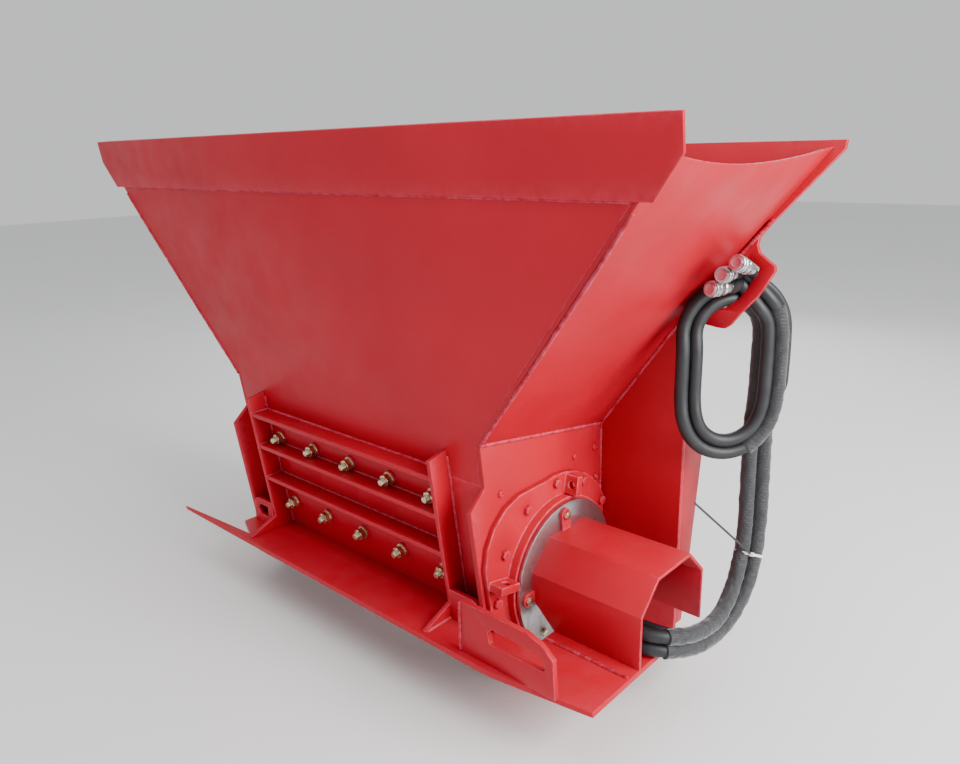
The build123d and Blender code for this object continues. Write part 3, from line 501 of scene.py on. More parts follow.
def turned(profile: Profile, steps: int, radius_at: RadiusRule | None = None) -> Shape:
    """Turn a profile about Z into a closed shape.

    Args:
        profile: (radius, height) pairs from the bottom to the top; the first and last radius may be 0.
        steps: Points round the axis.
        radius_at: Changes a radius, given the radius, the height and the angle.
    Returns:
        The shape.
    """
    shape = bmesh.new()
    rings: list[list[bmesh.types.BMVert]] = []
    for radius, height in profile:
        if radius < 1e-7:
            rings.append([shape.verts.new((0.0, 0.0, height))])
            continue
        ring = []
        for i in range(steps):
            angle = 2 * math.pi * i / steps
            r = radius_at(radius, height, angle) if radius_at else radius
            ring.append(shape.verts.new((r * math.cos(angle), r * math.sin(angle), height)))
        rings.append(ring)
    for low, high in zip(rings, rings[1:]):
        for i in range(steps):
            corners = [ring[j % len(ring)] for ring, j in ((low, i), (low, i + 1), (high, i + 1), (high, i))]
            unique = list(dict.fromkeys(corners))
            if len(unique) > 2:
                shape.faces.new(unique)
    for ring in (rings[0], rings[-1]):
        if len(ring) > 2:
            shape.faces.new(ring)
    bmesh.ops.recalc_face_normals(shape, faces=shape.faces)
    return shape


def hex_radius(flat: float, angle: float) -> float:
    """Radius of a hexagon at an angle.

    Args:
        flat: Radius to the middle of a flat.
        angle: Angle about the axis.
    Returns:
        Radius to the outline.
    """
    sixth = math.pi / 3
    return flat / math.cos((angle + sixth / 2) % sixth - sixth / 2)


def hexed(low: float, high: float, least: float) -> RadiusRule:
    """Rule that makes one band of a turned shape a hexagon with its corners turned off.

    Args:
        low: Height where the band starts.
        high: Height where it ends.
        least: Radii up to this stay round.
    Returns:
        The rule for turned().
    """
    return lambda radius, height, angle: (
        min(hex_radius(radius, angle), radius * 1.12) if low < height < high and radius > least else radius)


def knurled(radius: float, height: float, angle: float) -> float:
    """Straight knurl on the grip band of a coupler's sleeve.

    Args:
        radius: Radius without it.
        height: Height on the coupler.
        angle: Angle about the axis.
    Returns:
        Radius with it.
    """
    grip = 0.019 < height < 0.031 and radius > 0.014
    return radius - (0.0004 * (math.sin(angle * 36) > 0) if grip else 0.0)


def aim(axis: Vector, place: Vector) -> Matrix:
    """Matrix that takes +Z to an axis and the origin to a place.

    Args:
        axis: Direction for +Z.
        place: New origin.
    Returns:
        The matrix.
    """
    return Matrix.Translation(place) @ axis.to_track_quat("Z", "Y").to_matrix().to_4x4()


def islands(node: Piece) -> list[list[Vector]]:
    """Split a CAD node into its separate solids.

    Args:
        node: CAD node.
    Returns:
        The points of each solid.
    """
    shape = bmesh.new()
    shape.from_mesh(node.data)
    bmesh.ops.remove_doubles(shape, verts=shape.verts, dist=1e-6)
    seen: set[bmesh.types.BMVert] = set()
    groups: list[list[Vector]] = []
    for start in shape.verts:
        if start in seen:
            continue
        seen.add(start)
        stack, group = [start], []
        while stack:
            vert = stack.pop()
            group.append(vert.co.copy())
            for edge in vert.link_edges:
                other = edge.other_vert(vert)
                if other not in seen:
                    seen.add(other)
                    stack.append(other)
        groups.append(group)
    shape.free()
    return groups


def middle(points: Iterable[Vector]) -> Vector:
    """Centre of the box around some points.

    Args:
        points: The points.
    Returns:
        The centre.
    """
    found = list(points)
    low = Vector([min(p[i] for p in found) for i in range(3)])
    high = Vector([max(p[i] for p in found) for i in range(3)])
    return (low + high) / 2


def baked(piece: Piece, name: str, material: Material) -> Piece:
    """Turn an object with live modifiers into a plain mesh object and delete the source.

    Args:
        piece: Object with modifiers.
        name: Name of the result.
        material: Its material.
    Returns:
        The plain object.
    """
    graph = bpy.context.evaluated_depsgraph_get()
    mesh = bpy.data.meshes.new_from_object(piece.evaluated_get(graph))
    mesh.transform(piece.matrix_world)
    bpy.data.objects.remove(piece)
    mesh.name = name
    return link(name, mesh, material)


# ---------------------------------------------------------------- geometry node trees
def new_tree(name: str, sockets: Sequence[tuple[str, str]]) -> tuple[Tree, bpy.types.Node]:
    """Start a geometry tree with a geometry in and out and named inputs.

    Args:
        name: Tree name.
        sockets: (name, socket type) of each further input.
    Returns:
        The tree and its input node.
    """
    tree = bpy.data.node_groups.new(name, "GeometryNodeTree")
    tree.interface.new_socket("Geometry", in_out="INPUT", socket_type="NodeSocketGeometry")
    for label, kind in sockets:
        tree.interface.new_socket(label, in_out="INPUT", socket_type=kind)
    tree.interface.new_socket("Geometry", in_out="OUTPUT", socket_type="NodeSocketGeometry")
    return tree, add(tree, "NodeGroupInput")


def end_tree(tree: Tree, result: Socket, material: Socket) -> None:
    """Close a tree with Realize Instances and Set Material.

    Args:
        tree: The tree.
        result: Geometry so far.
        material: Material socket.
    """
    real = add(tree, "GeometryNodeRealizeInstances", {"Geometry": result}).outputs[0]
    dressed = add(tree, "GeometryNodeSetMaterial", {"Geometry": real, "Material": material}).outputs[0]
    add(tree, "NodeGroupOutput", {"Geometry": dressed})


def grow(piece: Piece, tree: Tree, values: dict[str, object]) -> None:
    """Put a geometry tree on an object and set its inputs by socket identifier.

    Args:
        piece: Object that takes the modifier.
        tree: The tree.
        values: Input name to value.
    """
    modifier = piece.modifiers.new(tree.name, "NODES")
    modifier.node_group = tree
    for item in tree.interface.items_tree:
        if item.in_out == "INPUT" and item.name in values:
            modifier[item.identifier] = values[item.name]


def repeat_tree() -> Tree:
    """Tree that stands a copy of one object on every point and rolls each by its own random angle.

    Returns:
        The tree.
    """
    tree, given = new_tree("fastener_on_points", [("Part", "NodeSocketObject"), ("Finish", "NodeSocketMaterial"),
                                                  ("Turn", "NodeSocketVector"), ("Seed", "NodeSocketInt")])
    wish = given.outputs
    part = add(tree, "GeometryNodeObjectInfo", {"Object": wish["Part"]}).outputs["Geometry"]
    roll = scatter(tree, 0.0, math.pi / 3, wish["Seed"])
    on_points = {"Points": wish["Geometry"], "Instance": part, "Rotation": wish["Turn"]}
    placed = add(tree, "GeometryNodeInstanceOnPoints", on_points).outputs[0]
    spin = add(tree, "ShaderNodeCombineXYZ", {"Z": roll}).outputs[0]
    rolled = add(tree, "GeometryNodeRotateInstances", {"Instances": placed, "Rotation": spin}).outputs[0]
    end_tree(tree, rolled, wish["Finish"])
    return tree


def scatter(tree: Tree, low: float, high: float, seed: Socket) -> Socket:
    """Random number for each instance.

    Args:
        tree: Geometry tree.
        low: Least value.
        high: Greatest value.
        seed: Seed socket.
    Returns:
        The number's socket.
    """
    return add(tree, "FunctionNodeRandomValue", {2: low, 3: high, "Seed": seed}, data_type="FLOAT").outputs[1]


def bead_tree() -> Tree:
    """Tree that lays overlapping weld ripples along an edge path.

    Returns:
        The tree.
    """
    tree, given = new_tree("weld_bead", [("Finish", "NodeSocketMaterial"), ("Size", "NodeSocketFloat"),
                                         ("Pitch", "NodeSocketFloat"), ("Seed", "NodeSocketInt")])
    wish = given.outputs
    path = add(tree, "GeometryNodeMeshToCurve", {"Mesh": wish["Geometry"]}).outputs[0]
    spread = add(tree, "GeometryNodeCurveToPoints", {"Curve": path, "Length": wish["Pitch"]}, mode="LENGTH")
    ripple = add(tree, "GeometryNodeMeshUVSphere", {"Segments": 12, "Rings": 7, "Radius": 1.0}).outputs[0]
    size = math_node(tree, "MULTIPLY", scatter(tree, 0.86, 1.14, wish["Seed"]), wish["Size"])
    flattened = math_node(tree, "MULTIPLY", size, 0.62)
    scale = add(tree, "ShaderNodeCombineXYZ", {"X": size, "Y": size, "Z": flattened}).outputs[0]
    on_points = {"Points": spread.outputs[0], "Instance": ripple, "Rotation": spread.outputs["Rotation"],
                 "Scale": scale}
    end_tree(tree, add(tree, "GeometryNodeInstanceOnPoints", on_points).outputs[0], wish["Finish"])
    return tree


def sleeve_tree() -> Tree:
    """Tree that pulls a creased cloth tube over an edge path.

    Returns:
        The tree.
    """
    tree, given = new_tree("creased_sleeve", [("Finish", "NodeSocketMaterial"), ("Radius", "NodeSocketFloat"),
                                              ("Crease", "NodeSocketFloat"), ("Crease Width", "NodeSocketFloat")])
    wish = given.outputs
    path = add(tree, "GeometryNodeMeshToCurve", {"Mesh": wish["Geometry"]}).outputs[0]
    even = add(tree, "GeometryNodeResampleCurve", {"Curve": path, "Length": 0.004}, mode="LENGTH").outputs[0]
    ring = add(tree, "GeometryNodeCurvePrimitiveCircle", {"Resolution": 28, "Radius": wish["Radius"]}).outputs[0]
    skin = {"Curve": even, "Profile Curve": ring, "Fill Caps": True}
    tube = add(tree, "GeometryNodeCurveToMesh", skin).outputs[0]
    scale = math_node(tree, "DIVIDE", 1.0, wish["Crease Width"])
    folds = add(tree, "ShaderNodeTexNoise", {"Scale": scale, "Detail": 2.5}).outputs[0]
    depth = math_node(tree, "MULTIPLY", math_node(tree, "SUBTRACT", folds, 0.42), wish["Crease"])
    outward = add(tree, "GeometryNodeInputNormal").outputs[0]
    push = add(tree, "ShaderNodeVectorMath", {0: outward, "Scale": depth}, operation="SCALE").outputs[0]
    creased = add(tree, "GeometryNodeSetPosition", {"Geometry": tube, "Offset": push}).outputs[0]
    smooth = add(tree, "GeometryNodeSetShadeSmooth", {0: creased}).outputs[0]
    end_tree(tree, smooth, wish["Finish"])
    return tree


def path_object(name: str, points: Sequence[Vector]) -> Piece:
    """Object whose mesh is one chain of edges.

    Args:
        name: Object name.
        points: Points of the chain.
    Returns:
        The object.
    """
    mesh = bpy.data.meshes.new(name)
    mesh.from_pydata([tuple(p) for p in points], [(i, i + 1) for i in range(len(points) - 1)], [])
    return link(name, mesh)


# ---------------------------------------------------------------- painted plates
@dataclass
class Steelwork:
    """Plates, castings and rails: copies of the frame's solids with real rounded edges, painted or bare."""

    wardrobe: Wardrobe
    nodes: dict[str, Piece]
    body_of: dict[str, str]
    enamelled: dict[str, float] = field(default_factory=lambda: {
        "hopper_front_wall": 1.2, "lip_band": 1.4, "hopper_back_wall": 1.6, "end_wall_right": 1.2,
        "end_wall_left": 1.2, "end_plate_right": 1.6, "end_plate_left": 1.6, "skid_runners": 2.0,
        "chamber_front_wall": 1.4, "front_posts": 1.6, "front_ribs": 1.8, "base_plate": 1.6, "wing_plate": 1.6,
        "foot_webs": 1.6, "quick_attach_sides": 1.6, "quick_attach_rails": 1.8, "motor_guard": 1.4})
    others: dict[str, tuple[float, Finish]] = field(default_factory=lambda: {
        "gearbox_housing": (2.6, Finish.CAST), "bearing_housing": (2.6, Finish.CAST),
        "bearing_cap": (1.8, Finish.CAST), "adapter_ring": (0.8, Finish.RING), "front_liner": (1.0, Finish.WORN),
        "rear_liner": (1.0, Finish.WORN), "side_liners": (0.8, Finish.WORN), "rotor_drum": (1.2, Finish.WORN),
        "rotor_hubs": (1.0, Finish.WORN), "rotor_teeth": (2.0, Finish.WORN),
        "hydraulic_motor": (1.8, Finish.CASTING), "hose_fittings": (0.5, Finish.BRIGHT)})
    ground: tuple[str, ...] = (
        "rotor_shaft", "bearing_outer_ring", "bearing_inner_ring", "bearing_rollers", "output_bearing",
        "planet_carrier", "planet_gear_1", "planet_gear_2", "planet_gear_3", "ring_gear", "sun_gear",
        "motor_shaft")

    def build(self) -> list[Piece]:
        """Round the edges of each listed node in a copy that stands for it, and dress the plain nodes.

        Returns:
            The new pieces.
        """
        made = []
        widths = {name: (width, Finish.ENAMEL) for name, width in self.enamelled.items()} | self.others
        for name, (width, finish) in widths.items():
            piece = self.rounded(name, width * MM, self.wardrobe.get(finish))
            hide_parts(name)
            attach(piece, self.body_of[name])
            made.append(piece)
        plain = {name: Finish.GROUND for name in self.ground}
        self.dress(plain | {"shaft_seal": Finish.RUBBER, "bearing_bolts": Finish.ZINC})
        return made

    def rounded(self, name: str, width: float, material: Material) -> Piece:
        """Copy one node, merge its triangles into faces and round its sharp edges.

        Args:
            name: CAD node.
            width: Width of the rounding in metres.
            material: Its material.
        Returns:
            The piece.
        """
        shape = bmesh.new()
        shape.from_mesh(self.nodes[name].data)
        bmesh.ops.remove_doubles(shape, verts=shape.verts, dist=5e-6)
        bmesh.ops.dissolve_limit(shape, angle_limit=math.radians(0.4), verts=shape.verts, edges=shape.edges)
        sharp = [e for e in shape.edges
                 if len(e.link_faces) == 2 and e.calc_face_angle(0.0) > math.radians(28)]
        bmesh.ops.bevel(shape, geom=sharp, offset=width, offset_type="OFFSET", segments=2, profile=0.5,
                        affect="EDGES", clamp_overlap=True, harden_normals=False)
        bmesh.ops.triangulate(shape, faces=[f for f in shape.faces if len(f.verts) > 4])
        return link(f"{name}_finished", mesh_from(name, shape, 40.0), material)

    def dress(self, finishes: dict[str, Finish]) -> None:
        """Give the remaining CAD nodes their materials.

        Args:
            finishes: Node to finish.
        """
        for name, finish in finishes.items():
            mesh = self.nodes[name].data
            mesh.materials.clear()
            mesh.materials.append(self.wardrobe.get(finish))


# ---------------------------------------------------------------- fasteners
class Style(Enum):
    """What a fastener looks like."""

    STUD_NUT = "nut and washer on a stud"
    HEX_BOLT = "flanged hex bolt"
    BUTTON = "button head"


@dataclass
class Fasteners:
    """Nuts, washers and bolts, set where the frame has them."""

    wardrobe: Wardrobe
    nodes: dict[str, Piece]
    tree: Tree
    steps: int = 36
    chamfer: float = 0.5

    def hexagon(self, flat: float, low: float, high: float, both: bool = True) -> Shape:
        """Hexagon head with its corners turned off at one or both ends.

        Args:
            flat: Radius to a flat.
            low: Height of the seat.
            high: Height of the top.
            both: Whether the seat's corners are turned off too.
        Returns:
            The shape.
        """
        def outline(radius: float, height: float, angle: float) -> float:
            """Keep the hexagon inside the turned cone at its ends.

            Args:
                radius: Radius in the profile.
                height: Height.
                angle: Angle about the axis.
            Returns:
                Radius of the outline.
            """
            corner = hex_radius(flat, angle)
            from_end = min(high - height, height - low if both else 1.0)
            cone = flat * 0.985 + max(from_end, 0.0) / self.chamfer
            return min(corner, cone) if radius > flat * 0.5 else radius

        deep = flat * 0.16
        heights = [low, low + deep * 0.3, low + deep, high - deep, high - deep * 0.3, high]
        profile = [(0.0, low)] + [(flat, h) for h in heights] + [(0.0, high)]
        return turned(profile, self.steps, outline)

    def join(self, shape: Shape, other: Shape) -> None:
        """Add one shape to another and free it.

        Args:
            shape: Shape that grows.
            other: Shape that goes into it.
        """
        carrier = bpy.data.meshes.new("carrier")
        other.to_mesh(carrier)
        other.free()
        shape.from_mesh(carrier)
        bpy.data.meshes.remove(carrier)

    def stud(self, radius: float, low: float, high: float, pitch: float) -> Shape:
        """Threaded end of a stud.

        Args:
            radius: Thread radius.
            low: Where it starts.
            high: Its tip.
            pitch: Thread pitch.
        Returns:
            The shape.
        """
        profile = [(0.0, low), (radius, low)]
        height = low
        while height < high - 2 * pitch:
            profile += [(radius, height + 0.3 * pitch), (radius * 0.91, height + 0.75 * pitch)]
            height += pitch
        profile += [(radius, height + 0.3 * pitch), (radius * 0.8, high), (0.0, high)]
        return turned(profile, 20)

    def build_one(self, style: Style, flat: float, tall: float) -> Shape:
        """One fastener standing on z = 0.

        Args:
            style: Which kind.
            flat: Radius to a flat, or of a button head.
            tall: Height of the head or nut.
        Returns:
            The shape.
        """
        shape = bmesh.new()
        if style is Style.STUD_NUT:
            washer = 2.5 * MM
            outer = flat * 1.25
            self.join(shape, turned([(flat * 0.7, 0), (outer - 0.4 * MM, 0), (outer, 0.5 * MM), (outer, washer * 0.75),
                                     (outer - 0.6 * MM, washer), (flat * 0.7, washer)], 40))
            self.join(shape, self.hexagon(flat, washer, washer + tall))
            self.join(shape, self.stud(flat * 0.667, washer + tall * 0.9, 26 * MM, 2.0 * MM))
        elif style is Style.HEX_BOLT:
            base = 1.2 * MM
            self.join(shape, turned([(0, 0), (flat * 1.02, 0), (flat * 0.96, base), (0, base)], 40))
            self.join(shape, self.hexagon(flat, base, tall, both=False))
            self.join(shape, turned([(0, tall), (flat * 0.72, tall), (flat * 0.66, tall + 0.25 * MM),
                                     (0, tall + 0.15 * MM)], 24))
        else:
            dome = [(flat, 0.0), (flat, tall * 0.18), (flat * 0.93, tall * 0.55), (flat * 0.72, tall * 0.87),
                    (flat * 0.48, tall), (flat * 0.42, tall * 0.98), (flat * 0.38, tall * 0.45), (0.0, tall * 0.45)]
            self.join(shape, turned([(0.0, 0.0)] + dome, 30))
        return shape

    def place(self, name: str, seats: Sequence[Vector], axis: Vector, style: Style, flat: float, tall: float,
              finish: Finish, seed: int) -> Piece:
        """Stand one fastener on each seat.

        Args:
            name: Piece name.
            seats: Points on the surface that carries them.
            axis: Outward direction.
            style: Which kind.
            flat: Radius to a flat in metres.
            tall: Head height in metres.
            finish: Its finish.
            seed: Fixes how each is turned.
        Returns:
            The piece.
        """
        sample = link("sample", mesh_from("sample", self.build_one(style, flat, tall)))
        mesh = bpy.data.meshes.new(name)
        mesh.from_pydata([tuple(p) for p in seats], [], [])
        holder = link(f"{name}_seats", mesh)
        turn = axis.to_track_quat("Z", "Y").to_euler()
        material = self.wardrobe.get(finish)
        grow(holder, self.tree, {"Part": sample, "Finish": material, "Turn": tuple(turn), "Seed": seed})
        piece = baked(holder, name, material)
        bpy.data.objects.remove(sample)
        return piece

    def seats(self, node: str, axis: Vector, at_low: bool = True) -> list[Vector]:
        """Seat points of the solids in a fastener node.

        Args:
            node: CAD node.
            axis: Outward direction.
            at_low: Whether the seat is the solid's innermost plane; if not, the outermost is given.
        Returns:
            A point on each solid's axis.
        """
        found = []
        for points in islands(self.nodes[node]):
            along = [p.dot(axis) for p in points]
            level = min(along) if at_low else max(along)
            centre = middle(points)
            found.append(centre + axis * (level - centre.dot(axis)))
        return found

    def build(self) -> None:
        """Make every fastener set and hide the plain ones."""
        out = self.wall_normal()
        seats = self.seats("liner_washers", out)
        studs = self.place("liner_stud_nuts", seats, out, Style.STUD_NUT, 12 * MM, 13 * MM, Finish.ZINC, 3)
        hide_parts("liner_nuts", "liner_washers", "liner_bolts")
        self.finish_set("gearbox_flange_bolts", 9 * MM, 7.8 * MM, Finish.CAST, 5)
        self.finish_set("ring_bolts", 8 * MM, 6.4 * MM, Finish.ZINC, 7)
        self.finish_set("motor_bolts", 6.5 * MM, 6.5 * MM, Finish.ZINC, 9)
        for way, name in SIDES:
            axis = RIGHT * way
            places = [p for p in self.seats("side_liner_bolts", axis) if p.x * way > 0]
            piece = self.place(f"side_liner_buttons_{name}", places, axis, Style.BUTTON, 8 * MM, 5 * MM,
                               Finish.ENAMEL, 11)
            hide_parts("side_liner_bolts")
            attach(piece, MAIN_BODY)
        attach(studs, MAIN_BODY)

    def finish_set(self, node: str, flat: float, tall: float, finish: Finish, seed: int) -> None:
        """Stand hexagon heads over a node of plain bolts that face +X and end at their outer plane.

        Args:
            node: CAD node.
            flat: Radius to a flat.
            tall: Head height.
            finish: Finish.
            seed: Fixes how each is turned.
        """
        seats = [p - RIGHT * tall for p in self.seats(node, RIGHT, at_low=False)]
        piece = self.place(f"{node}_finished", seats, RIGHT, Style.HEX_BOLT, flat, tall, finish, seed)
        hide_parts(node)
        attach(piece, MAIN_BODY)

    def wall_normal(self) -> Vector:
        """Outward direction of the leaning front wall, from the largest face of its solid.

        Returns:
            The direction.
        """
        mesh = self.nodes["hopper_front_wall"].data
        best = max(mesh.polygons, key=lambda f: f.area * (f.normal.y < -0.5))
        return best.normal.copy()


# ---------------------------------------------------------------- welds
@dataclass
class Welds:
    """Fillet welds between the plates, laid on the frame's own edges."""

    wardrobe: Wardrobe
    tree: Tree
    size: float = 4.2 * MM
    pitch: float = 3.0 * MM
    made: int = 0

    def lay(self, name: str, points: Sequence[Vector], size: float | None = None) -> None:
        """Lay one weld.

        Args:
            name: Piece name.
            points: Path of its root.
            size: Half width of the bead, if it isn't the usual one.
        """
        self.made += 1
        holder = path_object(f"{name}_path", points)
        values = {"Finish": self.wardrobe.get(Finish.WELD), "Size": size or self.size, "Pitch": self.pitch,
                  "Seed": self.made}
        grow(holder, self.tree, values)
        piece = baked(holder, name, self.wardrobe.get(Finish.WELD))
        for face in piece.data.polygons:
            face.use_smooth = True
        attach(piece, MAIN_BODY)

    def wall_y(self, z: float) -> float:
        """Y of the front wall's outer face at a height, from the ends of its solid.

        Args:
            z: Height.
        Returns:
            The Y.
        """
        low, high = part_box("hopper_front_wall")
        lean = (low.y - WALL_AT_DECK_Y) / (high.z - DECK_TOP_Z)
        return WALL_AT_DECK_Y + (z - DECK_TOP_Z) * lean

    def build(self) -> None:
        """Lay every weld that shows."""
        post_low, post_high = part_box("front_posts")
        deck = DECK_TOP_Z
        for side, label in SIDES:
            for face, x in (("inner", post_high.x - POST_THICK), ("outer", post_high.x)):
                path = [Vector((side * x, self.wall_y(z), z)) for z in (POST_WELD_TOP_Z, 0.33, deck + 0.004)]
                self.lay(f"weld_post_{label}_{face}", path)
            foot = [Vector((side * post_high.x, self.wall_y(deck) - 0.003, deck)),
                    Vector((side * post_high.x, post_low.y + 0.006, deck))]
            self.lay(f"weld_post_foot_{label}", foot)
        for i, z in enumerate(RIB_TOPS):
            for j, x_end in enumerate((-RIB_END_X, RIB_END_X)):
                end = [Vector((x_end, self.wall_y(z) - out, z)) for out in (0.002, RIB_DEPTH)]
                self.lay(f"weld_rib_{i}_{j}", end, 3.4 * MM)
            seam = [Vector((x, self.wall_y(z) - 0.001, z)) for x in (-0.30, 0.0, 0.30)]
            self.lay(f"weld_rib_top_{i}", seam, 3.6 * MM)
        wing_low, wing_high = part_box("wing_plate")
        self.lay("weld_wing_foot", [Vector((wing_low.x + 0.004, wing_high.y, deck)),
                                    Vector((wing_high.x - 0.006, wing_high.y, deck))])
        self.lay("weld_wing_root", [Vector((wing_low.x, wing_low.y, deck + 0.004)),
                                    Vector((wing_low.x, wing_low.y, wing_high.z - 0.004))], 3.4 * MM)
        guard_low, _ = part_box("motor_guard")
        self.lay("weld_guard_foot", [Vector((x, guard_low.y, deck)) for x in GUARD_FOOT])
        lip_low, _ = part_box("lip_band")
        lip_y = self.wall_y(lip_low.z + 0.001) - 0.001
        tight = [Vector((x, lip_y, lip_low.z)) for x in (-LIP_WELD_X, 0.0, LIP_WELD_X)]
        self.lay("weld_under_lip", tight, 3.2 * MM)
        panel_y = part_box("end_plate_right")[1].y
        for side, label in SIDES:
            path = [Vector((side * x, self.wall_y(z) + 0.001, z)) for x, z in CORNER_FRONT]
            self.lay(f"weld_hopper_corner_{label}", path, 3.6 * MM)
            front = Vector((side * WAIST_X, self.wall_y(WAIST_FRONT_Z), WAIST_FRONT_Z))
            self.lay(f"weld_waist_{label}", [front, Vector((side * WAIST_X, *WAIST_REAR))])
            panel = [Vector((side * CHAMBER_X, panel_y, z)) for z in (0.06, 0.480)]
            self.lay(f"weld_panel_{label}", panel)
            slope = [Vector((side * CHAMBER_X, panel_y, 0.484)), Vector((side * 0.602, panel_y, 0.758)),
                     Vector((side * 0.727, 0.233, 0.925))]
            self.lay(f"weld_panel_slope_{label}", slope)


# ---------------------------------------------------------------- hoses
def hose_route(side: int) -> list[Vector]:
    """Route of one riser: the shared route moved to one side, upright at first and level further up.

    Args:
        side: 1 or -1.
    Returns:
        Points in millimetres.
    """
    centre = [Vector(point) for point in HOSE_ROUTE]
    moved = []
    for i, point in enumerate(centre):
        tangent = (centre[min(i + 1, len(centre) - 1)] - centre[max(i - 1, 0)]).normalized()
        wish = UP * (1 - HOSE_TURN[i]) + PAIR_ACROSS * HOSE_TURN[i]
        across = UP.copy() if i < 2 else (wish - tangent * wish.dot(tangent)).normalized()
        moved.append(point + across * side * HOSE_SIDE)
    return moved


def coil_point(u: float, v: float, b: float) -> Vector:
    """Point of the coil: u along its plane, v up, b toward its open face, in millimetres.

    Args:
        u: Distance along the coil.
        v: Height above its centre.
        b: Distance toward its open face.
    Returns:
        The point.
    """
    return COIL_CENTRE + COIL_ALONG * u + UP * v + COIL_FACE * b


@dataclass(frozen=True)
class Strand:
    """Where one hose lies in the coil's bundle: outward and sideways shifts on each pass, in millimetres."""

    rise: tuple[float, float]
    over: tuple[float, float]
    left: tuple[float, float]
    under: tuple[float, float]
    second: tuple[float, float]

    def turn(self) -> list[Vector]:
        """Points of one full turn and the second climb, starting up the right side.

        Returns:
            The route.
        """
        points = [coil_point(COIL_HALF + self.rise[0], v, self.rise[1]) for v in (-60.0, -10.0, 40.0)]
        points += self.arc(10, 170, self.over, 7)
        points += [coil_point(-COIL_HALF - self.left[0], v, self.left[1]) for v in (45.0, -5.0, -50.0)]
        points += self.arc(190, 350, self.under, 7)
        points += [coil_point(COIL_HALF + self.second[0], v, self.second[1]) for v in (-45.0, 0.0, 45.0)]
        points += self.arc(12, 50, self.second, 3)
        return points

    def arc(self, start: float, end: float, shift: tuple[float, float], count: int) -> list[Vector]:
        """Points of a rounded end between two angles.

        Args:
            start: First angle in radians.
            end: Last angle in radians.
            shift: Offset of the whole end.
            count: How many points.
        Returns:
            The route.
        """
        radius = COIL_HALF + shift[0]
        middle_v = COIL_STRAIGHT if start < 180 else -COIL_STRAIGHT
        found = []
        for i in range(count):
            angle = math.radians(start + (end - start) * i / (count - 1))
            found.append(coil_point(radius * math.cos(angle), middle_v + radius * math.sin(angle), shift[1]))
        return found


